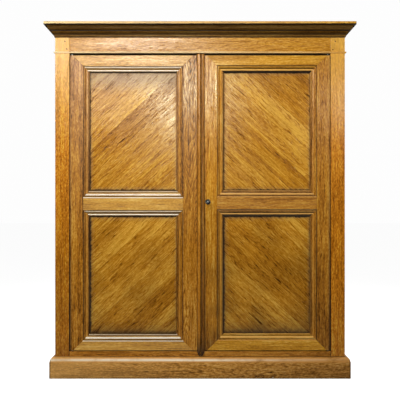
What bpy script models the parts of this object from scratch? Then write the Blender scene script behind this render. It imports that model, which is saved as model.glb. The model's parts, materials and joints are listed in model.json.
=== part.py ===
"""Oak notary cabinet: a frame-and-panel carcass on a moulded plinth under a cornice, with two doors
on pivot pins, a rim lock with its key, and rod bolts that hold the left door.

Metres, +Z up. The front faces -Y, and the origin is on the floor in the middle of the whole box."""

import math

import bmesh
import bpy
from mathutils import Vector

# Carcass
CARCASS_WIDTH = 1.800
CARCASS_DEPTH = 0.500
CARCASS_HEIGHT = 2.114
POST_FACE = 0.089
POST_DEPTH = 0.070
REAR_POST_FACE = 0.060
REAR_POST_DEPTH = 0.060
FRIEZE_HEIGHT = 0.106
SILL_SHOW = 0.031
SILL_BURIED = 0.070
FIT_GAP = 0.0003

# Plinth
PLINTH_HEIGHT = 0.132
PLINTH_FACE_HEIGHT = 0.100
PLINTH_OVERHANG = 0.032
PLINTH_FILLET = 0.003
PLINTH_TOP_LEDGE = 0.004
PLINTH_CORNER_ROUND = 0.010

# Cornice, from its foot upwards
CORNICE_HEIGHT = 0.086
CORNICE_OVERHANG = 0.060
CORNICE_SEAT = 0.034
CORNICE_SEAT_HEIGHT = 0.030
CORNICE_FOOT = 0.005
CORNICE_FOOT_HEIGHT = 0.009
CORNICE_COVE_OUT = 0.021
CORNICE_COVE_HEIGHT = 0.023
CORNICE_FILLET = 0.003
CORNICE_FILLET_HEIGHT = 0.006
CORNICE_QUIRK = 0.006
CORNICE_TOP_FILLET = 0.019
CORNICE_TOP_ROUND = 0.003
CORNICE_TOP_WIDTH = 0.040

# Bead under the frieze
BEAD_HEIGHT = 0.011
BEAD_PROUD = 0.008
BEAD_LIFT = 0.006

# Sides, back, floor and top
SIDE_RAIL_THICKNESS = 0.032
SIDE_TOP_RAIL = 0.116
SIDE_MID_RAIL = 0.100
SIDE_BOTTOM_RAIL_TOP = 0.250
SIDE_BOTTOM_RAIL_FOOT = 0.060
SIDE_PANEL_RECESS = 0.014
SIDE_PANEL_THICKNESS = 0.010
BACK_PANEL_THICKNESS = 0.012
BACK_PANEL_RECESS = 0.013
BACK_PANEL_FOOT = 0.100
BACK_MUNTIN = 0.090
BACK_REBATE = 0.015
GROOVE_DEPTH = 0.010
PANEL_PLAY = 0.0008
FLOOR_THICKNESS = 0.022
FLOOR_RISE = 0.015
LEDGE = 0.018
TOP_THICKNESS = 0.020
SHELF_THICKNESS = 0.026
SHELF_HOUSING = 0.010
SHELF_HEIGHTS = {"shelf_lower": 0.620, "shelf_middle": 1.075, "shelf_upper": 1.530}

# Doors
DOOR_THICKNESS = 0.034
DOOR_PROUD = 0.001
DOOR_SIDE_GAP = 0.003
DOOR_END_GAP = 0.005
DOOR_SEAM_GAP = 0.003
DOOR_STOP_GAP = 0.0005
STOP_DROP = 0.015
STOP_WIDTH = 0.020
SWING_RELIEF = 0.040
SWING_RELIEF_DEPTH = 0.006
SEAM_OFFSET = 0.005
HANGING_STILE = 0.083
MEETING_REACH = 0.107
TOP_RAIL = 0.067
MID_RAIL = 0.082
BOTTOM_RAIL = 0.064
MID_RAIL_CENTRE = 1.082
DOOR_PANEL_RECESS = 0.016
DOOR_PANEL_THICKNESS = 0.010
MID_RAIL_SHOULDER = 0.001

# Moulding worked on the door members, from the flat face inwards
MOULDING_WIDTH = 0.040
QUIRK_WIDTH = 0.003
QUIRK_DEPTH = 0.0045
OUTER_BEAD = 0.008
COVE_DEPTH = 0.0065
INNER_BEAD = 0.009
INNER_BEAD_DEPTH = 0.0125
MOULDING_STEP = 0.001
LIP_WIDTH = 0.003
LIP_DEPTH = 0.0135

# Split astragal over the seam
ASTRAGAL_HALF = 0.022
ASTRAGAL_THICKNESS = 0.012
ASTRAGAL_ROUND = 0.010
ASTRAGAL_EDGE = 0.002
ASTRAGAL_VEE = 0.003
ASTRAGAL_NOSE = 0.036
ASTRAGAL_NOSE_DEG = 80.0
ASTRAGAL_CLEARANCE = 0.002
ASTRAGAL_HEAD_GAP = 0.001

# Pivot pins
PIVOT_INSET = 0.014
PIVOT_DEPTH = 0.008
PIVOT_PIN_RADIUS = 0.0045
PIVOT_PIN_LENGTH = 0.022
PIVOT_SHANK_RADIUS = 0.005
PIVOT_SHANK_LENGTH = 0.025
PIVOT_COLLAR_RADIUS = 0.007

# Rod bolts of the left door
ROD_RADIUS = 0.006
ROD_LENGTH = 0.200
ROD_INSET = 0.026
ROD_DEPTH = 0.020
ROD_SINK = 0.002
ROD_TRAVEL = 0.018
ROD_SOCKET_SPARE = 0.003
KNOB_DROP = 0.150
KNOB_STEM_RADIUS = 0.003
KNOB_RADIUS = 0.008
KNOB_REACH = 0.012
KNOB_LENGTH = 0.008

# Lock
LOCK_HEIGHT = 1.091
LOCK_BACKSET = 0.0425
LOCK_EDGE_INSET = 0.003
LOCK_CASE_WIDTH = 0.086
LOCK_CASE_ABOVE = 0.046
LOCK_CASE_BELOW = 0.034
LOCK_CASE_DEPTH = 0.022
LOCK_CASE_WALL = 0.002
LOCK_BOLT_HEIGHT = 0.016
LOCK_BOLT_THICKNESS = 0.010
LOCK_BOLT_LENGTH = 0.060
LOCK_BOLT_STANDOFF = 0.006
LOCK_BOLT_LIFT = 0.0145
KEEPER_LENGTH = 0.022
KEEPER_WALL = 0.004
KEEPER_PLAY = 0.001
KEY_SHANK_RADIUS = 0.0035
KEY_REACH = 0.022
KEY_TIP_GAP = 0.003
KEY_BIT_RADIUS = 0.013
KEY_BIT_THICKNESS = 0.0035
KEY_BIT_LENGTH = 0.009
KEY_BIT_STANDOFF = 0.006
KEY_BOW_RADIUS = 0.0135
KEY_BOW_WIRE = 0.0035
KEY_BOW_SLANT_DEG = 40.0
KEY_COLLAR_RADIUS = 0.0055
KEY_COLLAR_LENGTH = 0.005
KEYHOLE_PLAY = 0.0008
KEYHOLE_SLOT = 0.005
ESCUTCHEON_RADIUS = 0.017
ESCUTCHEON_THICKNESS = 0.003
ESCUTCHEON_BEVEL = 0.0015

# How finely curves are drawn
ARC_STEPS = 8
ROUND_STEPS = 20
WIRE_STEPS = 8
CORNER_FACETS = 3
SMOOTH_DEG = 40.0

# Planes and levels that follow from the sizes above
OVERALL_DEPTH = CARCASS_DEPTH + CORNICE_OVERHANG
FRONT = CORNICE_OVERHANG - OVERALL_DEPTH / 2
BACK = OVERALL_DEPTH / 2
SIDE = CARCASS_WIDTH / 2
POST_INNER = SIDE - POST_FACE
POST_BACK = FRONT + POST_DEPTH
REAR_POST_INNER = SIDE - REAR_POST_FACE
REAR_POST_FRONT = BACK - REAR_POST_DEPTH
SIDE_INNER = SIDE - SIDE_RAIL_THICKNESS
OPENING_TOP = CARCASS_HEIGHT - FRIEZE_HEIGHT
OPENING_BOTTOM = PLINTH_HEIGHT + SILL_SHOW
DOOR_FACE = FRONT - DOOR_PROUD
DOOR_BACK = DOOR_FACE + DOOR_THICKNESS
STOP_FACE = DOOR_BACK + DOOR_STOP_GAP
DOOR_TOP = OPENING_TOP - DOOR_END_GAP
DOOR_BOTTOM = OPENING_BOTTOM + DOOR_END_GAP
FLOOR_TOP = OPENING_BOTTOM + FLOOR_RISE
FLOOR_UNDERSIDE = FLOOR_TOP - FLOOR_THICKNESS
LEDGE_TOP = FLOOR_UNDERSIDE - FIT_GAP
BACK_PANEL_FRONT = BACK - BACK_PANEL_RECESS - BACK_PANEL_THICKNESS
SIDES = {"left": -1, "right": 1}

for leftover in list(bpy.data.objects):
    bpy.data.objects.remove(leftover, do_unlink=True)


def finish(name, colour, roughness, metallic=0.0):
    """A plain Principled material."""
    made = bpy.data.materials.new(name)
    made.use_nodes = True
    shader = made.node_tree.nodes["Principled BSDF"]
    shader.inputs["Base Color"].default_value = (*colour, 1.0)
    shader.inputs["Roughness"].default_value = roughness
    shader.inputs["Metallic"].default_value = metallic
    return made


CARCASS_OAK = finish("carcass_oak", (0.42, 0.22, 0.06), 0.38)
DOOR_OAK = finish("door_oak", (0.38, 0.20, 0.06), 0.36)
PANEL_OAK = finish("panel_oak", (0.36, 0.18, 0.05), 0.36)
INSIDE_OAK = finish("inside_oak", (0.45, 0.28, 0.12), 0.60)
IRON = finish("iron", (0.10, 0.09, 0.08), 0.45, 1.0)


def loft(sections):
    """A closed solid through rings of points, capped at both ends."""
    solid = bmesh.new()
    rings = [[solid.verts.new(point) for point in section] for section in sections]
    count = len(rings[0])
    for near, far in zip(rings, rings[1:]):
        for i in range(count):
            j = (i + 1) % count
            solid.faces.new((near[i], near[j], far[j], far[i]))
    solid.faces.new(list(reversed(rings[0])))
    solid.faces.new(rings[-1])
    bmesh.ops.recalc_face_normals(solid, faces=solid.faces)
    return solid


def prism(outline, axis, low, high):
    """An outline pushed along one axis. Its points are in the other two, in X, Y, Z order."""
    place = "xyz".index(axis)
    return loft([[(*point[:place], level, *point[place:]) for point in outline] for level in (low, high)])


def box(low, high):
    """A block between two corners."""
    outline = [(low[0], low[1]), (high[0], low[1]), (high[0], high[1]), (low[0], high[1])]
    return prism(outline, "z", low[2], high[2])


def turned(profile, axis, centre):
    """A turned solid. The profile is (along the axis, radius) pairs, and centre is a point on the axis."""
    along = Vector({"x": (1, 0, 0), "y": (0, 1, 0), "z": (0, 0, 1)}[axis])
    across = Vector((along.y, along.z, along.x))
    third = along.cross(across)
    turns = [2 * math.pi * i / ROUND_STEPS for i in range(ROUND_STEPS)]
    spokes = [across * math.cos(turn) + third * math.sin(turn) for turn in turns]
    return loft([[Vector(centre) + along * w + spoke * radius for spoke in spokes] for w, radius in profile])


def trim(solid, point, normal):
    """Cuts away what lies ahead of a plane, and closes the cut."""
    everything = solid.verts[:] + solid.edges[:] + solid.faces[:]
    cut = bmesh.ops.bisect_plane(
        solid, geom=everything, plane_co=point, plane_no=normal, clear_outer=True, dist=1e-7
    )
    rim = [item for item in cut["geom_cut"] if isinstance(item, bmesh.types.BMEdge)]
    bmesh.ops.holes_fill(solid, edges=rim)
    bmesh.ops.recalc_face_normals(solid, faces=solid.faces)


def world_place(empty):
    """Where an empty stands, through its parents."""
    return empty.location + (world_place(empty.parent) if empty.parent else Vector())


def joint_axis(name, place, parent=None):
    """An empty on a joint's axis, which carries the pieces that move about it."""
    empty = bpy.data.objects.new(name, None)
    bpy.context.scene.collection.objects.link(empty)
    empty.parent = parent
    empty.location = Vector(place) - (world_place(parent) if parent else Vector())
    return empty


def add_piece(name, solid, material, carrier=None, smooth=False):
    """Turns a solid that was drawn in place into a named object, on its carrier if it has one."""
    if carrier:
        bmesh.ops.translate(solid, vec=-world_place(carrier), verts=solid.verts)
    mesh = bpy.data.meshes.new(name)
    solid.to_mesh(mesh)
    solid.free()
    if smooth:
        mesh.shade_smooth()
        mesh.set_sharp_from_angle(angle=math.radians(SMOOTH_DEG))
    mesh.materials.append(material)
    made = bpy.data.objects.new(name, mesh)
    made.parent = carrier
    bpy.context.scene.collection.objects.link(made)
    return made


def reshape(piece, tool, operation):
    """Cuts a hidden tool out of a piece, or joins it on."""
    mesh = bpy.data.meshes.new(f"{piece.name}_tool")
    tool.to_mesh(mesh)
    tool.free()
    hidden = bpy.data.objects.new(mesh.name, mesh)
    hidden.hide_render = True
    hidden.display_type = "WIRE"
    bpy.context.scene.collection.objects.link(hidden)
    change = piece.modifiers.new(operation.lower(), "BOOLEAN")
    change.operation = operation
    change.object = hidden


def arc(centre, radii, start_deg, end_deg, steps=ARC_STEPS):
    """Points on an ellipse about a centre, both ends included."""
    turns = [math.radians(start_deg + (end_deg - start_deg) * i / steps) for i in range(steps + 1)]
    return [(centre[0] + radii[0] * math.cos(t), centre[1] + radii[1] * math.sin(t)) for t in turns]


def wrap_round(profile):
    """Three mitred lengths of one section, along the front and both sides.
    The section is (outwards from the carcass, height) points."""
    ends = []
    for hand in SIDES.values():
        ends.append([(hand * (SIDE + out - FIT_GAP), FRONT - out, height) for out, height in profile])
    lengths = {"front": loft(ends)}
    for name, hand in SIDES.items():
        mitre = [(hand * (SIDE + out), FRONT - out + FIT_GAP, height) for out, height in profile]
        square = [(hand * (SIDE + out), BACK, height) for out, height in profile]
        lengths[name] = loft([mitre, square])
    return lengths


def make_plinth():
    """Boards round the feet of the posts, with a quarter-round along the top edge and worn corners."""
    swell = (PLINTH_OVERHANG - PLINTH_FILLET - PLINTH_TOP_LEDGE, PLINTH_HEIGHT - PLINTH_FACE_HEIGHT)
    profile = [(FIT_GAP, 0.0), (PLINTH_OVERHANG, 0.0), (PLINTH_OVERHANG, PLINTH_FACE_HEIGHT)]
    profile += arc((PLINTH_TOP_LEDGE, PLINTH_FACE_HEIGHT), swell, 0, 90)
    profile.append((FIT_GAP, PLINTH_HEIGHT))
    inset = PLINTH_OVERHANG - PLINTH_CORNER_ROUND
    for place, solid in wrap_round(profile).items():
        for hand in SIDES.values():
            centre = Vector((hand * (SIDE + inset), FRONT - inset, 0.0))
            for facet in range(1, CORNER_FACETS + 1):
                turn = math.radians(90 * facet / (CORNER_FACETS + 1))
                outwards = Vector((hand * math.sin(turn), -math.cos(turn), 0.0))
                trim(solid, centre + outwards * PLINTH_CORNER_ROUND, outwards)
        add_piece(f"plinth_{place}", solid, CARCASS_OAK)


def make_bead():
    """The half-round that runs along the foot of the frieze."""
    middle = OPENING_TOP + BEAD_LIFT + BEAD_HEIGHT / 2
    profile = arc((FIT_GAP, middle), (BEAD_PROUD, BEAD_HEIGHT / 2), -90, 90)
    for place, solid in wrap_round(profile).items():
        add_piece(f"bead_{place}", solid, CARCASS_OAK)


def make_cornice():
    """Foot fillet, cove, fillet, cyma and top fillet on a seat that rests on the carcass."""
    base = CARCASS_HEIGHT + FIT_GAP
    cove_foot = base + CORNICE_FOOT_HEIGHT
    cove_top = cove_foot + CORNICE_COVE_HEIGHT
    cyma_foot = cove_top + CORNICE_FILLET_HEIGHT
    top = CARCASS_HEIGHT + CORNICE_HEIGHT
    cyma_top = top - CORNICE_TOP_FILLET
    cyma_in = CORNICE_COVE_OUT + 2 * CORNICE_FILLET
    cyma_out = CORNICE_OVERHANG - CORNICE_QUIRK
    profile = [(-CORNICE_SEAT, base), (CORNICE_FOOT, base)]
    cove = (CORNICE_COVE_OUT - CORNICE_FOOT, CORNICE_COVE_HEIGHT)
    profile += arc((CORNICE_COVE_OUT, cove_foot), cove, 180, 90)
    profile += [(CORNICE_COVE_OUT + CORNICE_FILLET, cove_top), (CORNICE_COVE_OUT + CORNICE_FILLET, cyma_foot)]
    half = ((cyma_out - cyma_in) / 2, (cyma_top - cyma_foot) / 2)
    profile += arc((cyma_in, cyma_foot + half[1]), half, -90, 0)
    profile += arc((cyma_out, cyma_foot + half[1]), half, 180, 90)[1:]
    profile += [(CORNICE_OVERHANG, cyma_top), (CORNICE_OVERHANG, top - CORNICE_TOP_ROUND)]
    profile += [(CORNICE_OVERHANG - CORNICE_TOP_ROUND, top), (CORNICE_OVERHANG - CORNICE_TOP_WIDTH, top)]
    profile.append((-CORNICE_SEAT, base + CORNICE_SEAT_HEIGHT))
    for place, solid in wrap_round(profile).items():
        add_piece(f"cornice_{place}", solid, CARCASS_OAK)


def rear_shelf_end():
    """How far back a shelf's ears reach into the rear posts."""
    return REAR_POST_FRONT + SHELF_HOUSING


def make_posts():
    """Corner posts from the floor to the cornice, grooved for the side and back panels and
    housed for the shelves."""
    groove_out = SIDE - SIDE_PANEL_RECESS + FIT_GAP
    groove_in = SIDE - SIDE_PANEL_RECESS - SIDE_PANEL_THICKNESS - FIT_GAP
    for name, hand in SIDES.items():
        front_groove = POST_BACK - GROOVE_DEPTH
        front = [(SIDE, FRONT), (SIDE, POST_BACK), (groove_out, POST_BACK), (groove_out, front_groove)]
        front += [(groove_in, front_groove), (groove_in, POST_BACK)]
        front += [(POST_INNER, POST_BACK), (POST_INNER, FRONT)]
        rear_groove = REAR_POST_FRONT + GROOVE_DEPTH
        back_groove = (BACK_PANEL_FRONT - FIT_GAP, BACK_PANEL_FRONT + BACK_PANEL_THICKNESS + FIT_GAP)
        rear = [(SIDE, BACK), (SIDE, REAR_POST_FRONT), (groove_out, REAR_POST_FRONT)]
        rear += [(groove_out, rear_groove), (groove_in, rear_groove), (groove_in, REAR_POST_FRONT)]
        rear.append((REAR_POST_INNER, REAR_POST_FRONT))
        rear += [(REAR_POST_INNER, back_groove[0]), (REAR_POST_INNER + GROOVE_DEPTH, back_groove[0])]
        rear += [(REAR_POST_INNER + GROOVE_DEPTH, back_groove[1]), (REAR_POST_INNER, back_groove[1])]
        rear.append((REAR_POST_INNER, BACK))
        posts = {}
        for place, outline in (("front", front), ("rear", rear)):
            solid = prism([(hand * x, y) for x, y in outline], "z", 0.0, CARCASS_HEIGHT)
            posts[place] = add_piece(f"{place}_post_{name}", solid, CARCASS_OAK)
        for height in SHELF_HEIGHTS.values():
            sill, head = height - FIT_GAP, height + SHELF_THICKNESS + FIT_GAP
            seats = (
                (posts["front"], POST_INNER, POST_BACK - SHELF_HOUSING - FIT_GAP, POST_BACK + SHELF_HOUSING),
                (posts["rear"], REAR_POST_INNER, REAR_POST_FRONT - SHELF_HOUSING, rear_shelf_end() + FIT_GAP),
            )
            for post, inner, near, far in seats:
                across = sorted((hand * (inner - SHELF_HOUSING), hand * SIDE_INNER))
                housing = box((across[0], near, sill), (across[1], far, head))
                reshape(post, housing, "DIFFERENCE")


def make_front_rails():
    """The bottom rail, whose back edge carries the floor board, and the frieze rail, with a batten on its
    back edge that stops the doors. The batten ends short of the hanging stiles, whose back corners swing
    past it."""
    ends = (-POST_INNER + FIT_GAP, POST_INNER - FIT_GAP)
    stop_back = STOP_FACE + STOP_WIDTH
    stop_end = POST_INNER - SWING_RELIEF
    frieze = box((ends[0], FRONT, OPENING_TOP), (ends[1], stop_back, CARCASS_HEIGHT))
    foot, head = OPENING_TOP - STOP_DROP, OPENING_TOP + STOP_DROP
    batten = box((-stop_end, STOP_FACE, foot), (stop_end, stop_back, head))
    foot = PLINTH_HEIGHT - SILL_BURIED
    ledge_back = STOP_FACE + LEDGE
    sill = [(FRONT, foot), (FRONT, OPENING_BOTTOM), (STOP_FACE - FIT_GAP, OPENING_BOTTOM)]
    sill += [(STOP_FACE - FIT_GAP, LEDGE_TOP), (ledge_back, LEDGE_TOP), (ledge_back, foot)]
    rails = {
        "upper": add_piece("frieze_rail", frieze, CARCASS_OAK),
        "lower": add_piece("bottom_rail", prism(sill, "x", *ends), CARCASS_OAK),
    }
    reshape(rails["upper"], batten, "UNION")
    return rails


def make_sides():
    """Three rails and two panels in each side."""
    near, far = POST_BACK + FIT_GAP, REAR_POST_FRONT - FIT_GAP
    panel_out = SIDE - SIDE_PANEL_RECESS
    panel_in = panel_out - SIDE_PANEL_THICKNESS
    slot_out, slot_in = panel_out + FIT_GAP, panel_in - FIT_GAP
    top_foot = CARCASS_HEIGHT - SIDE_TOP_RAIL
    mid_foot = MID_RAIL_CENTRE - SIDE_MID_RAIL / 2
    mid_head = MID_RAIL_CENTRE + SIDE_MID_RAIL / 2
    bottom_head = SIDE_BOTTOM_RAIL_TOP

    def groove(level, depth):
        return [(slot_out, level), (slot_out, level + depth), (slot_in, level + depth), (slot_in, level)]

    top = [(SIDE_INNER, CARCASS_HEIGHT), (SIDE, CARCASS_HEIGHT), (SIDE, top_foot)]
    top += groove(top_foot, GROOVE_DEPTH) + [(SIDE_INNER, top_foot)]
    middle = [(SIDE, mid_head), (SIDE, mid_foot)] + groove(mid_foot, GROOVE_DEPTH)
    middle += [(SIDE_INNER, mid_foot), (SIDE_INNER, mid_head)]
    middle += reversed(groove(mid_head, -GROOVE_DEPTH))
    ledge = SIDE_INNER - LEDGE
    bottom = [(SIDE_INNER, bottom_head)] + list(reversed(groove(bottom_head, -GROOVE_DEPTH)))
    bottom += [(SIDE, bottom_head), (SIDE, SIDE_BOTTOM_RAIL_FOOT), (ledge, SIDE_BOTTOM_RAIL_FOOT)]
    bottom += [(ledge, LEDGE_TOP), (SIDE_INNER, LEDGE_TOP)]
    reach = GROOVE_DEPTH - PANEL_PLAY
    panels = {"upper": (mid_head, top_foot), "lower": (bottom_head, mid_foot)}
    for name, hand in SIDES.items():
        for place, outline in (("top", top), ("mid", middle), ("bottom", bottom)):
            solid = prism([(hand * x, z) for x, z in outline], "y", near, far)
            add_piece(f"side_{place}_rail_{name}", solid, CARCASS_OAK)
        for place, (foot, head) in panels.items():
            across = sorted((hand * panel_in, hand * panel_out))
            low = (across[0], POST_BACK - reach, foot - reach)
            high = (across[1], REAR_POST_FRONT + reach, head + reach)
            add_piece(f"side_{place}_panel_{name}", box(low, high), PANEL_OAK)


def both_halves(right_half):
    """An outline and its mirror image in the middle plane."""
    return right_half + [(-x, y) for x, y in reversed(right_half)]


def make_back():
    """Two wide panels between the rear posts, lapped over a middle muntin."""
    panel_back = BACK_PANEL_FRONT + BACK_PANEL_THICKNESS
    half = BACK_MUNTIN / 2
    tongue = half - BACK_REBATE
    rebate = panel_back + FIT_GAP
    muntin = [(tongue, BACK_PANEL_FRONT), (tongue, rebate), (half, rebate), (half, BACK)]
    solid = prism(both_halves(muntin), "z", BACK_PANEL_FOOT, CARCASS_HEIGHT)
    add_piece("back_muntin", solid, INSIDE_OAK)
    outer = REAR_POST_INNER + GROOVE_DEPTH - PANEL_PLAY
    for name, hand in SIDES.items():
        across = sorted((hand * (tongue + FIT_GAP), hand * outer))
        low = (across[0], BACK_PANEL_FRONT, BACK_PANEL_FOOT)
        high = (across[1], panel_back, CARCASS_HEIGHT)
        add_piece(f"back_panel_{name}", box(low, high), INSIDE_OAK)


def make_boards():
    """The floor board on its ledges, the shelves in their housings and the top board inside the cornice.
    The floor is notched where the back corners of the hanging stiles swing past it."""
    rear = BACK_PANEL_FRONT - FIT_GAP
    wide = SIDE_INNER - FIT_GAP
    behind_post = POST_BACK + FIT_GAP
    notch = (POST_INNER - SWING_RELIEF, STOP_FACE + SWING_RELIEF_DEPTH)
    floor = [(notch[0], STOP_FACE), notch, (POST_INNER - FIT_GAP, notch[1])]
    floor += [(POST_INNER - FIT_GAP, behind_post), (wide, behind_post)]
    floor += [(wide, REAR_POST_FRONT - FIT_GAP), (REAR_POST_INNER - FIT_GAP, REAR_POST_FRONT - FIT_GAP)]
    floor.append((REAR_POST_INNER - FIT_GAP, rear))
    add_piece("floor_board", prism(both_halves(floor), "z", FLOOR_UNDERSIDE, FLOOR_TOP), INSIDE_OAK)
    shelf = [(wide, POST_BACK - SHELF_HOUSING), (wide, rear_shelf_end())]
    shelf += [(REAR_POST_INNER - FIT_GAP, rear_shelf_end()), (REAR_POST_INNER - FIT_GAP, rear)]
    for name, height in SHELF_HEIGHTS.items():
        solid = prism(both_halves(shelf), "z", height, height + SHELF_THICKNESS)
        add_piece(name, solid, INSIDE_OAK)
    seat = CORNICE_SEAT + FIT_GAP
    low = (-SIDE + seat, FRONT + seat, CARCASS_HEIGHT + FIT_GAP)
    high = (SIDE - seat, BACK, CARCASS_HEIGHT + FIT_GAP + TOP_THICKNESS)
    add_piece("top_board", box(low, high), INSIDE_OAK)


def moulded_edge():
    """Section of a door member's inner edge, as (towards the panel, depth) points: quirk, bead, cove,
    bead and lip in front, then the panel's groove and the back."""
    bead = OUTER_BEAD / 2
    points = [(0.0, 0.0), (FIT_GAP, QUIRK_DEPTH)]
    points += arc((QUIRK_WIDTH + bead, QUIRK_DEPTH), (bead, -bead), 180, 0)
    cove_start = QUIRK_WIDTH + OUTER_BEAD + MOULDING_STEP
    inner_start = MOULDING_WIDTH - LIP_WIDTH - INNER_BEAD
    cove_width = inner_start - MOULDING_STEP - cove_start
    cove_height = INNER_BEAD_DEPTH - COVE_DEPTH
    points += arc((cove_start + cove_width, COVE_DEPTH), (cove_width, cove_height), 180, 90)
    bead = INNER_BEAD / 2
    points += arc((inner_start + bead, INNER_BEAD_DEPTH), (bead, -bead), 180, 0)
    points += [(MOULDING_WIDTH - LIP_WIDTH, LIP_DEPTH), (MOULDING_WIDTH, LIP_DEPTH)]
    groove_front = DOOR_PANEL_RECESS - FIT_GAP
    groove_back = DOOR_PANEL_RECESS + DOOR_PANEL_THICKNESS + FIT_GAP
    points += [(MOULDING_WIDTH, groove_front), (MOULDING_WIDTH - GROOVE_DEPTH, groove_front)]
    points += [(MOULDING_WIDTH - GROOVE_DEPTH, groove_back), (MOULDING_WIDTH, groove_back)]
    points.append((MOULDING_WIDTH, DOOR_THICKNESS))
    return points


def pivot_place(hand, level):
    """A point on a door's pivot axis."""
    return Vector((hand * (POST_INNER - DOOR_SIDE_GAP - PIVOT_INSET), DOOR_FACE + PIVOT_DEPTH, level))


def astragal(meeting, hand):
    """Half of the strip over the seam, on one door's edge. It runs past the door's ends, and its foot
    narrows to a round nose just over the plinth."""
    height = ASTRAGAL_THICKNESS
    profile = [(0.0, 0.0), (0.0, height - ASTRAGAL_VEE), (ASTRAGAL_VEE, height)]
    rounding = (ASTRAGAL_ROUND, height - ASTRAGAL_EDGE)
    profile += arc((ASTRAGAL_HALF - ASTRAGAL_ROUND, ASTRAGAL_EDGE), rounding, 90, 0)
    profile.append((ASTRAGAL_HALF, 0.0))
    nose_top = PLINTH_HEIGHT + ASTRAGAL_CLEARANCE + ASTRAGAL_NOSE
    stations = [(1.0, OPENING_TOP - ASTRAGAL_HEAD_GAP)]
    stations += arc((0.0, nose_top), (1.0, -ASTRAGAL_NOSE), 0, ASTRAGAL_NOSE_DEG)
    rings = []
    for share, level in stations:
        seat, lift = DOOR_FACE - FIT_GAP, (1 + share) / 2
        rings.append([(meeting + hand * share * across, seat - lift * out, level) for across, out in profile])
    return loft(rings)


def make_door(side, hand):
    """A door: two stiles, three rails and two panels. The end rails are mitred into the stiles over
    their whole width; the mid rail butts them, and only its mouldings are mitred."""
    hanging = hand * (POST_INNER - DOOR_SIDE_GAP)
    meeting = SEAM_OFFSET + hand * DOOR_SEAM_GAP / 2
    flats = {"hanging": hanging - hand * HANGING_STILE, "meeting": hand * MEETING_REACH}
    edges = {"hanging": hanging, "meeting": meeting}
    inwards = {"hanging": -hand, "meeting": hand}
    bottom_flat, top_flat = DOOR_BOTTOM + BOTTOM_RAIL, DOOR_TOP - TOP_RAIL
    mid_foot, mid_head = MID_RAIL_CENTRE - MID_RAIL / 2, MID_RAIL_CENTRE + MID_RAIL / 2
    section = moulded_edge()
    carrier = joint_axis(f"{side}_door_axis", pivot_place(hand, DOOR_BOTTOM))
    pieces = {}
    for stile, edge in edges.items():
        flat, inward = flats[stile], inwards[stile]
        outline = [(edge, DOOR_FACE)]
        outline += [(flat + inward * across, DOOR_FACE + deep) for across, deep in section]
        outline.append((edge, DOOR_BACK))
        solid = prism(outline, "z", DOOR_BOTTOM, DOOR_TOP)
        trim(solid, (flat, 0, top_flat), (inward, 0, 1))
        trim(solid, (flat, 0, bottom_flat), (inward, 0, -1))
        pieces[stile] = add_piece(f"{side}_door_{stile}_stile", solid, DOOR_OAK, carrier)
        reach = MOULDING_WIDTH + GROOVE_DEPTH
        notch = [(flat - inward * MID_RAIL_SHOULDER, mid_foot + MID_RAIL_SHOULDER)]
        notch += [(flat - inward * MID_RAIL_SHOULDER, mid_head - MID_RAIL_SHOULDER)]
        notch += [(flat + inward * reach, mid_head + reach), (flat + inward * reach, mid_foot - reach)]
        through = (DOOR_FACE - GROOVE_DEPTH, DOOR_BACK + GROOVE_DEPTH)
        reshape(pieces[stile], prism(notch, "y", *through), "DIFFERENCE")
    span = sorted(edges.values())
    gap = FIT_GAP * math.sqrt(2)
    end_rails = (("top", DOOR_TOP, top_flat, -1), ("bottom", DOOR_BOTTOM, bottom_flat, 1))
    for rail, edge, flat_level, inward in end_rails:
        outline = [(DOOR_FACE, edge)]
        outline += [(DOOR_FACE + deep, flat_level + inward * across) for across, deep in section]
        outline.append((DOOR_BACK, edge))
        solid = prism(outline, "x", *span)
        for stile, flat in flats.items():
            trim(solid, (flat + inwards[stile] * gap, 0, flat_level), (-inwards[stile], 0, inward))
        pieces[rail] = add_piece(f"{side}_door_{rail}_rail", solid, DOOR_OAK, carrier)
    outline = [(DOOR_FACE + deep, mid_head + across) for across, deep in section]
    outline += [(DOOR_FACE + deep, mid_foot - across) for across, deep in reversed(section)]
    solid = prism(outline, "x", *span)
    for stile, flat in flats.items():
        start = flat - inwards[stile] * (MID_RAIL_SHOULDER - FIT_GAP)
        trim(solid, (start, 0, MID_RAIL_CENTRE), (-inwards[stile], 0, 0))
        for level, way in ((mid_head, 1), (mid_foot, -1)):
            trim(solid, (flat + inwards[stile] * gap, 0, level), (-inwards[stile], 0, way))
    pieces["mid"] = add_piece(f"{side}_door_mid_rail", solid, DOOR_OAK, carrier)
    reach = MOULDING_WIDTH - GROOVE_DEPTH + PANEL_PLAY
    across = sorted(flats[stile] + inwards[stile] * reach for stile in flats)
    levels = {"upper": (mid_head + reach, top_flat - reach), "lower": (bottom_flat + reach, mid_foot - reach)}
    panel_face = DOOR_FACE + DOOR_PANEL_RECESS
    for place, (foot, head) in levels.items():
        low = (across[0], panel_face, foot)
        high = (across[1], panel_face + DOOR_PANEL_THICKNESS, head)
        add_piece(f"{side}_door_{place}_panel", box(low, high), PANEL_OAK, carrier)
    add_piece(f"{side}_door_astragal", astragal(meeting, hand), DOOR_OAK, carrier)
    return pieces, meeting, carrier


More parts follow.
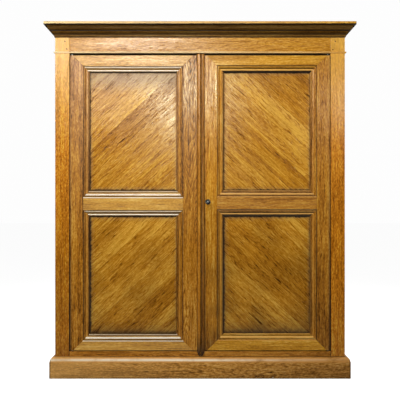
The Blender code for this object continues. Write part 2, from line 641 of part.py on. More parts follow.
def make_pivots(side, hand, rails, door):
    """Turned pins at both ends of a hanging stile: a shank driven into the rail, a collar that keeps the
    door off it, and a pin on which the door turns. The door is bored through the mitre of its corner."""
    ends = (("lower", OPENING_BOTTOM, 1, "bottom"), ("upper", OPENING_TOP, -1, "top"))
    for end, level, way, rail in ends:
        place = pivot_place(hand, level)
        collar = DOOR_END_GAP - FIT_GAP
        profile = [(-PIVOT_SHANK_LENGTH, PIVOT_SHANK_RADIUS), (FIT_GAP, PIVOT_SHANK_RADIUS)]
        profile += [(FIT_GAP, PIVOT_COLLAR_RADIUS), (collar, PIVOT_COLLAR_RADIUS), (collar, PIVOT_PIN_RADIUS)]
        profile.append((DOOR_END_GAP + PIVOT_PIN_LENGTH, PIVOT_PIN_RADIUS))
        solid = turned([(way * along, radius) for along, radius in profile], "z", place)
        add_piece(f"pivot_{side}_{end}", solid, IRON, smooth=True)
        bore = PIVOT_SHANK_RADIUS + FIT_GAP
        shank = [(way * (-PIVOT_SHANK_LENGTH - FIT_GAP), bore), (way * DOOR_END_GAP, bore)]
        reshape(rails[end], turned(shank, "z", place), "DIFFERENCE")
        bore = PIVOT_PIN_RADIUS + FIT_GAP
        pin = [(0.0, bore), (way * (DOOR_END_GAP + PIVOT_PIN_LENGTH + FIT_GAP), bore)]
        for member in (door["hanging"], door[rail]):
            reshape(member, turned(pin, "z", place), "DIFFERENCE")


def make_rod_bolts(meeting, carrier, meeting_stile, rails):
    """Round bolts that slide in bores in the left door's meeting stile, each worked by a knob in a slot,
    with a socket in the rail that it reaches."""
    across = meeting - ROD_INSET
    deep = DOOR_FACE + ROD_DEPTH
    bore = ROD_RADIUS + FIT_GAP
    stem = KNOB_STEM_RADIUS + FIT_GAP
    for end, level, way in (("upper", DOOR_TOP, 1), ("lower", DOOR_BOTTOM, -1)):
        slide = joint_axis(f"rod_bolt_{end}_slide", (across, deep, level), carrier)
        head = -ROD_SINK
        profile = [(way * (head - ROD_LENGTH), ROD_RADIUS), (way * head, ROD_RADIUS)]
        solid = turned(profile, "z", (across, deep, level))
        rod = add_piece(f"rod_bolt_{end}", solid, IRON, slide, smooth=True)
        knob_level = level - way * KNOB_DROP
        out = DOOR_BACK - deep + KNOB_REACH
        knob = [(0.0, KNOB_STEM_RADIUS), (out, KNOB_STEM_RADIUS), (out, KNOB_RADIUS)]
        knob.append((out + KNOB_LENGTH, KNOB_RADIUS))
        reshape(rod, turned(knob, "y", (across, deep, knob_level)), "UNION")
        bored = [(way * (head - ROD_LENGTH - FIT_GAP), bore), (way * ROD_TRAVEL, bore)]
        reshape(meeting_stile, turned(bored, "z", (across, deep, level)), "DIFFERENCE")
        slot = sorted((knob_level - way * stem, knob_level + way * (ROD_TRAVEL + stem)))
        slot_box = box((across - stem, deep, slot[0]), (across + stem, DOOR_BACK + KNOB_REACH, slot[1]))
        reshape(meeting_stile, slot_box, "DIFFERENCE")
        socket = [(0.0, bore), (way * (ROD_TRAVEL - ROD_SINK + ROD_SOCKET_SPARE), bore)]
        reshape(rails[end], turned(socket, "z", (across, deep, level)), "DIFFERENCE")


def make_lock(left_meeting, left_carrier, right_meeting, right_carrier, meeting_stile):
    """A rim lock on the back of the right door: an open-fronted case, a bolt above the key, the key in
    its escutcheon, and a staple on the left door that the bolt shoots into."""
    key_across = right_meeting + LOCK_BACKSET
    case_near = right_meeting + LOCK_EDGE_INSET
    case_back = DOOR_BACK + LOCK_CASE_DEPTH
    foot, head = LOCK_HEIGHT - LOCK_CASE_BELOW, LOCK_HEIGHT + LOCK_CASE_ABOVE
    wall = LOCK_CASE_WALL
    case_low = (case_near, DOOR_BACK + FIT_GAP, foot)
    case_high = (case_near + LOCK_CASE_WIDTH, case_back, head)
    case = add_piece("lock_case", box(case_low, case_high), IRON, right_carrier)
    hollow_low = (case_near + wall, DOOR_BACK - wall, foot + wall)
    hollow_high = (case_near + LOCK_CASE_WIDTH - wall, case_back - wall, head - wall)
    reshape(case, box(hollow_low, hollow_high), "DIFFERENCE")
    bolt_near = DOOR_BACK + LOCK_BOLT_STANDOFF
    bolt_far = bolt_near + LOCK_BOLT_THICKNESS
    bolt_foot = LOCK_HEIGHT + LOCK_BOLT_LIFT
    bolt_head = bolt_foot + LOCK_BOLT_HEIGHT
    window_low = (case_near - wall, bolt_near - FIT_GAP, bolt_foot - FIT_GAP)
    window_high = (case_near + 2 * wall, bolt_far + FIT_GAP, bolt_head + FIT_GAP)
    reshape(case, box(window_low, window_high), "DIFFERENCE")
    slide = joint_axis("lock_bolt_slide", (case_near, bolt_near, bolt_foot), right_carrier)
    bolt = box((case_near, bolt_near, bolt_foot), (case_near + LOCK_BOLT_LENGTH, bolt_far, bolt_head))
    add_piece("lock_bolt", bolt, IRON, slide)
    gap_foot, gap_head = bolt_foot - KEEPER_PLAY, bolt_head + KEEPER_PLAY
    keeper_back = bolt_far + KEEPER_PLAY
    seat = DOOR_BACK + FIT_GAP
    staple = [(seat, gap_foot - KEEPER_WALL), (seat, gap_foot), (keeper_back, gap_foot)]
    staple += [(keeper_back, gap_head), (seat, gap_head), (seat, gap_head + KEEPER_WALL)]
    staple += [(keeper_back + KEEPER_WALL, gap_head + KEEPER_WALL)]
    staple += [(keeper_back + KEEPER_WALL, gap_foot - KEEPER_WALL)]
    staple_end = left_meeting - LOCK_EDGE_INSET
    solid = prism(staple, "x", staple_end - KEEPER_LENGTH, staple_end)
    add_piece("lock_keeper", solid, IRON, left_carrier)
    hole = KEY_SHANK_RADIUS + KEYHOLE_PLAY
    ring_seat = DOOR_FACE - FIT_GAP
    ring = [(0.0, ESCUTCHEON_RADIUS), (-ESCUTCHEON_THICKNESS + ESCUTCHEON_BEVEL, ESCUTCHEON_RADIUS)]
    ring.append((-ESCUTCHEON_THICKNESS, ESCUTCHEON_RADIUS - ESCUTCHEON_BEVEL))
    rose = turned(ring, "y", (key_across, ring_seat, LOCK_HEIGHT))
    escutcheon = add_piece("escutcheon", rose, IRON, right_carrier, smooth=True)
    slot_deg = math.degrees(math.acos(KEYHOLE_SLOT / 2 / hole))
    keyhole = arc((key_across, LOCK_HEIGHT), (hole, hole), -slot_deg, 180 + slot_deg, 2 * ARC_STEPS)
    slot_foot = LOCK_HEIGHT - KEY_BIT_RADIUS - KEYHOLE_PLAY
    keyhole += [(key_across - KEYHOLE_SLOT / 2, slot_foot), (key_across + KEYHOLE_SLOT / 2, slot_foot)]
    for target in (escutcheon, meeting_stile):
        through = (DOOR_FACE - 2 * ESCUTCHEON_THICKNESS, DOOR_BACK + FIT_GAP)
        reshape(target, prism(keyhole, "y", *through), "DIFFERENCE")
    make_key((key_across, LOCK_HEIGHT), ring_seat - ESCUTCHEON_THICKNESS, case_back - wall, right_carrier)


def ring_bow(middle, aim, along, across):
    """A closed wire ring in the plane of two directions."""
    bow = bmesh.new()
    rings = []
    for i in range(ROUND_STEPS):
        around = 2 * math.pi * i / ROUND_STEPS
        spoke = aim * math.cos(around) + along * math.sin(around)
        wire = arc((KEY_BOW_RADIUS, 0.0), (KEY_BOW_WIRE, KEY_BOW_WIRE), 0, 360, WIRE_STEPS)[:-1]
        rings.append([bow.verts.new(middle + spoke * reach + across * lift) for reach, lift in wire])
    for near, far in zip(rings, rings[1:] + rings[:1]):
        for j in range(WIRE_STEPS):
            k = (j + 1) % WIRE_STEPS
            bow.faces.new((near[j], near[k], far[k], far[j]))
    bmesh.ops.recalc_face_normals(bow, faces=bow.faces)
    return bow


def make_key(centre, rose_face, case_wall, carrier):
    """Shank with a collar, a ring bow that stands edge-on to the front, and a bit in the lock."""
    slant = math.radians(KEY_BOW_SLANT_DEG)
    aim = Vector((math.cos(slant), 0.0, math.sin(slant)))
    along = Vector((0.0, 1.0, 0.0))
    across = aim.cross(along)
    seat = Vector((centre[0], rose_face, centre[1]))
    turn = joint_axis("key_axis", seat, carrier)
    collar_end = -FIT_GAP - KEYHOLE_PLAY
    profile = [(-KEY_REACH, KEY_SHANK_RADIUS), (collar_end - KEY_COLLAR_LENGTH, KEY_SHANK_RADIUS)]
    profile += [(collar_end - KEY_COLLAR_LENGTH, KEY_COLLAR_RADIUS), (collar_end, KEY_COLLAR_RADIUS)]
    profile += [(collar_end, KEY_SHANK_RADIUS), (case_wall - KEY_TIP_GAP - rose_face, KEY_SHANK_RADIUS)]
    key = add_piece("key", turned(profile, "y", seat), IRON, turn, smooth=True)
    bow_middle = seat - along * (KEY_REACH + KEY_BOW_RADIUS)
    reshape(key, ring_bow(bow_middle, aim, along, across), "UNION")
    root = seat + along * (DOOR_BACK + KEY_BIT_STANDOFF - rose_face)
    tip = root + aim * KEY_BIT_RADIUS
    thick = across * KEY_BIT_THICKNESS / 2
    corners = [root - thick, root + thick, tip + thick, tip - thick]
    bit = loft([corners, [corner + along * KEY_BIT_LENGTH for corner in corners]])
    reshape(key, bit, "UNION")


make_plinth()
make_posts()
front_rails = make_front_rails()
make_sides()
make_back()
make_boards()
make_bead()
make_cornice()
left_pieces, left_edge, left_axis = make_door("left", SIDES["left"])
right_pieces, right_edge, right_axis = make_door("right", SIDES["right"])
make_pivots("left", SIDES["left"], front_rails, left_pieces)
make_pivots("right", SIDES["right"], front_rails, right_pieces)
make_rod_bolts(left_edge, left_axis, left_pieces["meeting"], front_rails)
make_lock(left_edge, left_axis, right_edge, right_axis, right_pieces["meeting"])
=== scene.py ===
"""Looks of the oak notary cabinet: waxed oak with its grain along each member, old polish, dirt, painted
shade and painted highlights in the mouldings, diagonal panels, pegs, planted mouldings on the sides, and worn
iron."""

import json
import math

import bmesh
import bpy
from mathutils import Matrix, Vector

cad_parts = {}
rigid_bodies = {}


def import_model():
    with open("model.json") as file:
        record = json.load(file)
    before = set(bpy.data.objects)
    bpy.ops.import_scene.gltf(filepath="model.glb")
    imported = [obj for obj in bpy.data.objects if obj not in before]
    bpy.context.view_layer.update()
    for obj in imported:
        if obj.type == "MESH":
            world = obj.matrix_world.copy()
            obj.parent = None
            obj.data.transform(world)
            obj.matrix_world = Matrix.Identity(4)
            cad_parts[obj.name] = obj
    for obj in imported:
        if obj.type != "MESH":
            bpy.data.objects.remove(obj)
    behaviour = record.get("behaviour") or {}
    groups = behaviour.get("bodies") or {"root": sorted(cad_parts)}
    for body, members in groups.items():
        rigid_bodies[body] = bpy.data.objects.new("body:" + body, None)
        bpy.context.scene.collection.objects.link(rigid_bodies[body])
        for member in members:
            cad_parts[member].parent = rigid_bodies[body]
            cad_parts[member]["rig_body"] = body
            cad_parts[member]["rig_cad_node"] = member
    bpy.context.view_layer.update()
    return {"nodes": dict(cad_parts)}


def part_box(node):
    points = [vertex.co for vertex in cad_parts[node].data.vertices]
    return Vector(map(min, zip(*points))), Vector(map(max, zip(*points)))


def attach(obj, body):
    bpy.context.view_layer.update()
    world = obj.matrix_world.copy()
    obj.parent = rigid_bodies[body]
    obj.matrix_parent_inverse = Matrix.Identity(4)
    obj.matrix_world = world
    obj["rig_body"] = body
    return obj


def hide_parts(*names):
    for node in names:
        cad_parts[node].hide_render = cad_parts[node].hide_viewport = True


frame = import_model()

# Corner posts
# Four oak posts run from the floor to the cornice, the front ones wide and flat, and the rails are tenoned
# into them. They are planed and waxed, and use has rubbed their arrises round.


def linear(hex_colour):
    """An sRGB hex colour as the linear RGBA that shader sockets take."""
    shares = [int(hex_colour[i : i + 2], 16) / 255 for i in (1, 3, 5)]
    return (*(s / 12.92 if s <= 0.04045 else ((s + 0.055) / 1.055) ** 2.4 for s in shares), 1.0)


def feed(node, inputs):
    """Sets inputs of a node. Each is a value, a socket that feeds it, or a node whose first output does."""
    for name, value in inputs.items():
        if isinstance(value, bpy.types.Node):
            value = value.outputs[0]
        if isinstance(value, bpy.types.NodeSocket):
            node.id_data.links.new(value, node.inputs[name])
        else:
            node.inputs[name].default_value = value


def add_node(tree, kind, inputs=None, **settings):
    """Adds a shader node with its settings and inputs."""
    made = tree.nodes.new(f"ShaderNode{kind}")
    for name, value in settings.items():
        setattr(made, name, value)
    feed(made, inputs or {})
    return made


def set_stops(ramp, stops):
    """Gives a colour ramp its stops in order, each a place and a colour, or a place and a mask's amount."""
    elements = ramp.color_ramp.elements
    while len(elements) < len(stops):
        elements.new(0.5)
    for element, (place, shade) in zip(elements, stops):
        element.position = place
        element.color = shade if isinstance(shade, tuple) else (shade, shade, shade, 1.0)
    return ramp


def grain_noise(tree, place, along, across, detail):
    """Noise drawn out along the grain, in cycles per metre along and across it."""
    drawn = add_node(tree, "Mapping", {"Vector": place, "Scale": (along, across, across)})
    return add_node(tree, "TexNoise", {"Vector": drawn, "Scale": 1.0, "Detail": detail})


# The turn that lays a pattern's grain, which runs along X, upright
GRAIN_UPRIGHT = (0.0, math.radians(90), 0.0)
# Places of an oak's four tones, from its dark pores to its pale flakes
TONE_STOPS = (0.10, 0.36, 0.52, 0.74)
# Growth rings in a full swing of their field, and how much late wood darkens the tone
RING_COUNT = 44.0
LATE_WOOD = 0.26
# How far the grain wanders across itself, in metres, and the middle of the noise that leads it
WAVER = (0.0, 0.024, 0.024)
NOISE_MIDDLE = (0.5, 0.5, 0.5)
# Glued joints, and how far the pattern slides along and across boards, by their tone and their number
JOINT_WIDTH = 0.0016
JOINT_DARK = 0.24
BOARD_SLIDE = (7.0, 0.3, 0.0)


def waxed_oak(
    name, tones, grain, figure=0.3, flake=0.4, contrast=1.0, pores=0.10, curl=0.0, boards=None, shift=0.0,
    roughness=0.27, shine=0.34,
):
    """Planed oak under old wax: long streaks of tone, growth rings cut lengthwise, pale flakes, and dark
    pores drawn a few times too coarse, because real ones of 0.3 mm wouldn't show. Tones run from dark to
    pale. Figure, flake, contrast and pores weigh these, and shine is the wax on pale wood: dark pores hold
    little. Curl is how far the grain winds, in metres, where a branch grew. Boards is the width of boards
    glued edge to edge, the pattern's axis across them, and their spread of tone."""
    material = bpy.data.materials.new(name)
    material.use_nodes = True
    tree = material.node_tree
    shader = tree.nodes["Principled BSDF"]
    place = add_node(tree, "TexCoord").outputs["Object"]
    turned = add_node(
        tree, "Mapping", {"Vector": place, "Rotation": grain, "Location": (shift, shift, shift)}
    )
    board_marks = []
    if boards:
        width, axis, spread = boards
        across = add_node(tree, "SeparateXYZ", {"Vector": turned}).outputs[axis]
        count = add_node(tree, "Math", {0: across, 1: width}, operation="DIVIDE")
        number = add_node(tree, "Math", {0: count}, operation="FLOOR")
        board_tone = add_node(tree, "TexWhiteNoise", {"W": number}, noise_dimensions="1D")
        slide = add_node(tree, "CombineXYZ", {"X": board_tone, "Y": number})
        turned = add_node(
            tree, "VectorMath", {0: slide, 1: BOARD_SLIDE, 2: turned}, operation="MULTIPLY_ADD"
        )
        edge = add_node(tree, "Math", {0: count, 1: 0.5}, operation="PINGPONG")
        joint_line = add_node(
            tree, "MapRange", {"Value": edge, "From Max": JOINT_WIDTH / width, "To Min": 1.0, "To Max": 0.0}
        )
        board_marks = [(board_tone, spread), (joint_line, -JOINT_DARK)]
    drift = grain_noise(tree, turned, 1.8, 6.0, 2.0).outputs["Color"]
    drift = add_node(tree, "VectorMath", {0: drift, 1: NOISE_MIDDLE}, operation="SUBTRACT")
    wavy = add_node(tree, "VectorMath", {0: drift, 1: WAVER, 2: turned}, operation="MULTIPLY_ADD")
    if curl:
        winding = grain_noise(tree, turned, 9.0, 20.0, 1.5).outputs["Color"]
        winding = add_node(tree, "VectorMath", {0: winding, 1: NOISE_MIDDLE}, operation="SUBTRACT")
        patch = grain_noise(tree, turned, 2.4, 6.0, 1.0)
        patch = add_node(
            tree, "MapRange", {"Value": patch, "From Min": 0.50, "From Max": 0.66, "To Max": curl}
        )
        winding = add_node(tree, "VectorMath", {0: winding, "Scale": patch}, operation="SCALE")
        wavy = add_node(tree, "VectorMath", {0: wavy, 1: winding}, operation="ADD")

    # Cycles per metre along and across the grain, detail, and the weight in the tone
    layers = {
        "broad": (1.1, 10.0, 2.0, 0.40),
        "streak": (2.4, 46.0, 3.0, 0.36),
        "fibre": (8.0, 150.0, 3.0, 0.50),
        "flake": (60.0, 150.0, 2.0, flake),
    }
    amounts = {}
    tone = 0.5
    for layer, (along, across, detail, weight) in layers.items():
        amounts[layer] = grain_noise(tree, wavy, along, across, detail)
        centred = add_node(tree, "Math", {0: amounts[layer], 1: 0.5}, operation="SUBTRACT")
        tone = add_node(
            tree, "Math", {0: centred, 1: weight * contrast, 2: tone}, operation="MULTIPLY_ADD"
        )

    # Growth rings: level lines of a smooth stretched field, which close into long arches as on a sawn board
    field = grain_noise(tree, wavy, 0.9, 9.0, 1.0)
    rings = add_node(tree, "Math", {0: field, 1: RING_COUNT}, operation="MULTIPLY")
    rings = add_node(tree, "Math", {0: rings}, operation="FRACT")
    late_wood = add_node(tree, "MapRange", {"Value": rings, "From Min": 0.5})
    # Pores are short dashes, which crowd in the dark streaks
    dashes = grain_noise(tree, wavy, 15.0, 170.0, 1.5)
    dashes = add_node(tree, "MapRange", {"Value": dashes, "From Min": 0.58, "From Max": 0.66})
    crowded = add_node(
        tree, "MapRange",
        {"Value": amounts["streak"], "From Min": 0.35, "From Max": 0.65, "To Min": 1.3, "To Max": 0.35},
    )
    open_pores = add_node(tree, "Math", {0: dashes, 1: crowded}, operation="MULTIPLY")
    for mark, weight in ((late_wood, -LATE_WOOD * figure), (open_pores, -pores), *board_marks):
        tone = add_node(tree, "Math", {0: mark, 1: weight, 2: tone}, operation="MULTIPLY_ADD")
    ramp = add_node(tree, "ValToRGB", {"Fac": tone})
    set_stops(ramp, list(zip(TONE_STOPS, map(linear, tones))))
    gloss = add_node(
        tree, "MapRange",
        {"Value": amounts["streak"], "From Min": 0.3, "From Max": 0.7, "To Min": roughness + 0.06,
         "To Max": roughness - 0.05},
    )
    relief = add_node(
        tree, "Math", {0: open_pores, 1: -0.5, 2: amounts["fibre"]}, operation="MULTIPLY_ADD"
    )
    bump = add_node(tree, "Bump", {"Height": relief, "Strength": 0.5, "Distance": 0.001})
    feed(shader, {"Base Color": ramp, "Roughness": gloss, "Normal": bump, "Specular IOR Level": shine})
    # Where the wax's own pattern is dropped from a copy of the model, its plain shine stays on the socket
    if shine:
        wax = add_node(
            tree, "MapRange",
            {"Value": tone, "From Min": 0.22, "From Max": 0.55, "To Min": 0.25 * shine, "To Max": shine},
        )
        feed(shader, {"Specular IOR Level": wax})
    return material


def lay_dirt_wear_and_light(material, mask, hex_colour, dull=None):
    """Lays a colour over a material's colour where the mask is 1: old dirt, rubbed bare wood, painted shade
    or a painted highlight. Dull is its roughness."""
    tree = material.node_tree
    shader = tree.nodes["Principled BSDF"]
    below = shader.inputs["Base Color"].links[0].from_socket
    laid = add_node(tree, "Mix", {"Factor": mask, "A": below, "B": linear(hex_colour)}, data_type="RGBA")
    feed(shader, {"Base Color": laid.outputs["Result"]})
    if dull:
        gloss = shader.inputs["Roughness"].links[0].from_socket
        dulled = add_node(tree, "MapRange", {"Value": mask, "To Min": gloss, "To Max": dull})
        feed(shader, {"Roughness": dulled})


def by_place(material, axis, low, high, at_low=0.0, at_high=1.0):
    """A mask that changes evenly along an axis, from its amount at a low place to that at a high one. Both
    places are in metres."""
    tree = material.node_tree
    place = add_node(tree, "TexCoord").outputs["Object"]
    along = add_node(tree, "SeparateXYZ", {"Vector": place}).outputs[axis]
    return add_node(
        tree, "MapRange",
        {"Value": along, "From Min": low, "From Max": high, "To Min": at_low, "To Max": at_high},
    )


DARK_BROWN = "#2b1602"


def darken_towards_floor(material, amount):
    """Darkens to brown in soft patches, four times as much at the floor as at the height of a hand and above.
    """
    tree = material.node_tree
    place = add_node(tree, "TexCoord").outputs["Object"]
    low = by_place(material, "Z", 0.1, 1.25, amount, amount * 0.25)
    patches = add_node(tree, "TexNoise", {"Vector": place, "Scale": 5.0, "Detail": 4.0})
    patches = add_node(
        tree, "MapRange",
        {"Value": patches, "From Min": 0.36, "From Max": 0.64, "To Min": 0.6, "To Max": 1.4},
    )
    lay_dirt_wear_and_light(material, add_node(tree, "Math", {0: low, 1: patches}, operation="MULTIPLY"), DARK_BROWN)


GAP_BLUR = 0.004


def paint_gap_shade(material, axis, edge, side, top=None, amount=0.95):
    """Paints shade on the faces of an opening, where the light doesn't reach: all that lies past an edge on
    an axis. Side is 1 for what lies beyond the edge and -1 for what lies short of it. X counts from the
    middle of the cabinet, and there the painted shade is lighter high up. Top is the height at which the
    opening ends, and amount how dark the painted shade is."""
    tree = material.node_tree
    place = add_node(tree, "TexCoord").outputs["Object"]
    spot = add_node(tree, "SeparateXYZ", {"Vector": place}).outputs
    along = spot[axis]
    if axis == "X":
        along = add_node(tree, "Math", {0: along}, operation="ABSOLUTE")
    mask = add_node(
        tree, "MapRange",
        {"Value": along, "From Min": edge - side * GAP_BLUR, "From Max": edge, "To Max": amount},
        interpolation_type="SMOOTHERSTEP",
    )
    if axis == "X":
        lighter_up = by_place(material, "Z", 0.4, 1.5, 1.0, 0.2)
        mask = add_node(tree, "Math", {0: mask, 1: lighter_up}, operation="MULTIPLY")
    if top:
        under = add_node(tree, "Math", {0: spot["Z"], 1: top}, operation="LESS_THAN")
        mask = add_node(tree, "Math", {0: mask, 1: under}, operation="MULTIPLY")
    lay_dirt_wear_and_light(material, mask, "#0e0702", dull=0.9)


def select_only(piece):
    """Makes a piece the one that the operators work on."""
    bpy.ops.object.select_all(action="DESELECT")
    piece.select_set(True)
    bpy.context.view_layer.objects.active = piece


SMOOTH_ANGLE = math.radians(35)


def soften(piece):
    """Shades the curves of the selected piece smooth, and keeps its flats flat."""
    bpy.ops.object.shade_smooth_by_angle(angle=SMOOTH_ANGLE)
    flats = piece.modifiers.new("flats_stay_flat", "WEIGHTED_NORMAL")
    flats.keep_sharp = True
    bpy.ops.object.modifier_apply(modifier=flats.name)


def dress(piece, material):
    """Gives a piece its finish, in place of any other."""
    piece.data.materials.clear()
    piece.data.materials.append(material)


WELD = 0.00001
FLAT_ANGLE = math.radians(0.5)
ARRIS_ANGLE = math.radians(60)
ARRIS_LENGTH = 0.04
ARRIS_FACE = 0.006


def rubbed(node, material, arris=0.0015):
    """Stands in for a packed member: its triangles are joined, its long arrises rubbed round and its curves
    smooth."""
    member = frame["nodes"][node]
    select_only(member)
    bpy.ops.object.duplicate()
    piece = bpy.context.object
    piece.name = piece.data.name = f"{node}_rubbed"
    del piece["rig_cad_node"]
    bpy.ops.mesh.customdata_custom_splitnormals_clear()
    bpy.ops.object.mode_set(mode="EDIT")
    bpy.ops.mesh.select_mode(type="EDGE")
    bpy.ops.mesh.select_all(action="SELECT")
    bpy.ops.mesh.remove_doubles(threshold=WELD)
    bpy.ops.mesh.dissolve_limited(angle_limit=FLAT_ANGLE)
    bpy.ops.mesh.select_all(action="DESELECT")
    shape = bmesh.from_edit_mesh(piece.data)
    for edge in shape.edges:
        if len(edge.link_faces) == 2 and edge.is_convex and edge.calc_length() > ARRIS_LENGTH:
            widths = [f.calc_area() / max(e.calc_length() for e in f.edges) for f in edge.link_faces]
            edge.select_set(edge.calc_face_angle() > ARRIS_ANGLE and min(widths) > ARRIS_FACE)
    bmesh.update_edit_mesh(piece.data)
    bpy.ops.mesh.bevel(offset=arris, segments=2, clamp_overlap=True)
    bpy.ops.object.mode_set(mode="OBJECT")
    soften(piece)
    dress(piece, material)
    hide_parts(node)
    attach(piece, member["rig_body"])


# Fine upright flecks on orange oak, darker towards the foot, with painted window light pale yellow at the
# head
POST_TONES = ("#5a2a02", "#a66006", "#cb7c0e", "#ecb03a")
post_oak = waxed_oak("waxed_oak_posts", POST_TONES, GRAIN_UPRIGHT, figure=0.2, flake=0.8, contrast=0.92)
darken_towards_floor(post_oak, 0.26)
# Painted light: the heads of the posts are painted pale yellow, where the lamps light them most
lay_dirt_wear_and_light(post_oak, by_place(post_oak, "Z", 1.45, 2.1, 0.0, 0.5), "#ecbc58")
POST_RIM = 0.001
post_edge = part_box("front_post_right")[0].x + POST_RIM
# Painted shade on the posts' inner faces, in the gaps beside the doors, below the frieze
paint_gap_shade(post_oak, "X", post_edge, -1, top=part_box("frieze_rail")[0].z)
for end in ("front", "rear"):
    for side in ("left", "right"):
        rubbed(f"{end}_post_{side}", post_oak)

# Frieze and bottom rails
# Oak rails tenoned between the front posts, over and under the doors, with the grain along them. The frieze
# shows lively plain-sawn figure. Painted shadow lies under the bead and under the cornice.
GRAIN_ALONG_X = (0.0, 0.0, 0.0)
# Plain brown oak in strong long figure, in the shade of the doors
BOTTOM_RAIL_TONES = ("#4c2a08", "#9a5d10", "#be7a1e", "#e0a84a")
bottom_rail_oak = waxed_oak("waxed_oak_bottom_rail", BOTTOM_RAIL_TONES, GRAIN_ALONG_X, figure=0.7)
# Golden oak, restless with short flecks and winding grain
FRIEZE_TONES = ("#50300a", "#9c6412", "#be8220", "#e4b65a")
frieze_oak = waxed_oak(
    "waxed_oak_frieze", FRIEZE_TONES, GRAIN_ALONG_X, figure=0.5, flake=0.8, contrast=0.5, curl=0.04, shift=4.4
)
# Painted shadow of the bead on the frieze, and of the cornice on the frieze and the posts
paint_gap_shade(frieze_oak, "Z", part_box("bead_front")[0].z, -1)
CORNICE_SHADE = 0.0015
for material in (frieze_oak, post_oak):
    paint_gap_shade(material, "Z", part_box("cornice_front")[0].z - CORNICE_SHADE, 1, amount=0.75)
cabinet_left, cabinet_right = (corner.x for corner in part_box("plinth_front"))


def along_front(material, hex_colour, amounts, mask=None):
    """Lays a colour over a front piece that changes along it, mostly painted light and shade from the window
    on
    the left: its amounts at the left end, in the middle and at the right end, within a mask if there is one."""
    tree = material.node_tree
    share = by_place(material, "X", cabinet_left, cabinet_right)
    film = set_stops(add_node(tree, "ValToRGB", {"Fac": share}), list(zip((0.0, 0.5, 1.0), amounts)))
    if mask:
        film = add_node(tree, "Math", {0: film, 1: mask}, operation="MULTIPLY")
    lay_dirt_wear_and_light(material, film, hex_colour)


# Painted shade: the bottom rail is darker brown towards the right, away from the light
along_front(bottom_rail_oak, DARK_BROWN, (0.0, 0.06, 0.22))
# The left post's foot is darker brown than the right one's
along_front(post_oak, DARK_BROWN, (0.14, 0.0, 0.0), by_place(post_oak, "Z", 0.4, 1.1, 1.0, 0.0))
rubbed("frieze_rail", frieze_oak)
rubbed("bottom_rail", bottom_rail_oak)

# Sides
# Frame-and-panel sides of waxed oak: three rails are tenoned between the posts on each side, and the panels
# are boards glued edge to edge, held loose in grooves.
GRAIN_FRONT_TO_BACK = (0.0, 0.0, math.radians(90))
# Yellow oak with level grain
RAIL_TONES = ("#5a360c", "#a66e18", "#cb9028", "#ecc064")
side_rail_oak = waxed_oak("waxed_oak_side_rails", RAIL_TONES, GRAIN_FRONT_TO_BACK, figure=0.4)
# Browner oak in upright boards that differ a little in tone
SIDE_PANEL_TONES = ("#502c08", "#9a5e10", "#bd7d1f", "#dca846")
SIDE_BOARDS = (0.128, "Y", 0.16)
side_panel_oak = waxed_oak(
    "waxed_oak_side_panels", SIDE_PANEL_TONES, GRAIN_UPRIGHT, figure=0.8, boards=SIDE_BOARDS, shift=3.1
)
for side in ("left", "right"):
    for rail in ("top", "mid", "bottom"):
        rubbed(f"side_{rail}_rail_{side}", side_rail_oak)
    for panel in ("upper", "lower"):
        dress(frame["nodes"][f"side_{panel}_panel_{side}"], side_panel_oak)

# Mouldings of the side panels
# An oak ovolo planted round each side panel and mitred at the corners. It stands 2 mm under the frame's face.
# Each is one frame of flat strip that is thickened, with its inner arris rounded.
PLANTED_WIDTH = 0.018
PLANTED_HEIGHT = 0.012
PLANTED_ROUND = 0.009
PLANTED_EDGE = 0.001
# The rails' yellow oak, with upright grain for the upright lengths
side_stile_oak = waxed_oak("waxed_oak_side_mouldings", RAIL_TONES, GRAIN_UPRIGHT, figure=0.2, shift=2.9)


def planted_moulding(name, panel, opening, outward):
    """One mitred frame of ovolo on a side panel. Opening gives its lowest and highest Y and Z, and outward is
    -1 on the left side and 1 on the right."""
    (near, far), (foot, head) = opening
    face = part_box(panel)[0 if outward < 0 else 1].x
    bpy.ops.object.select_all(action="DESELECT")
    bpy.ops.mesh.primitive_plane_add(
        size=1.0, location=(face, (near + far) / 2, (foot + head) / 2),
        rotation=(0.0, outward * math.pi / 2, 0.0),
    )
    piece = bpy.context.object
    piece.name = piece.data.name = name
    piece.scale = (head - foot, far - near, 1.0)
    bpy.ops.object.transform_apply(location=True, rotation=True, scale=True)
    bpy.ops.object.mode_set(mode="EDIT")
    bpy.ops.mesh.select_mode(type="FACE")
    bpy.ops.mesh.select_all(action="SELECT")
    bpy.ops.mesh.inset(thickness=PLANTED_WIDTH)
    bpy.ops.mesh.delete(type="FACE")
    bpy.ops.object.mode_set(mode="OBJECT")
    wall = piece.modifiers.new("wall", "SOLIDIFY")
    wall.thickness = PLANTED_HEIGHT
    wall.offset = 1.0
    bpy.ops.object.modifier_apply(modifier=wall.name)
    bpy.ops.object.mode_set(mode="EDIT")
    bpy.ops.mesh.select_mode(type="EDGE")
    bpy.ops.mesh.select_all(action="DESELECT")
    shape = bmesh.from_edit_mesh(piece.data)
    for edge in shape.edges:
        proud = all((v.co.x - face) * outward > PLANTED_HEIGHT * 0.9 for v in edge.verts)
        inner = all(
            near + PLANTED_EDGE < v.co.y < far - PLANTED_EDGE
            and foot + PLANTED_EDGE < v.co.z < head - PLANTED_EDGE
            for v in edge.verts
        )
        edge.select_set(proud and inner)
    bmesh.update_edit_mesh(piece.data)
    bpy.ops.mesh.bevel(offset=PLANTED_ROUND, segments=5, profile=0.5)
    bpy.ops.object.mode_set(mode="OBJECT")
    soften(piece)
    piece.data.materials.append(side_stile_oak)
    piece.data.materials.append(side_rail_oak)
    for polygon in piece.data.polygons:
        to_sides = min(polygon.center.y - near, far - polygon.center.y)
        to_ends = min(polygon.center.z - foot, head - polygon.center.z)
        polygon.material_index = 0 if to_sides < to_ends else 1
    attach(piece, "carcass")


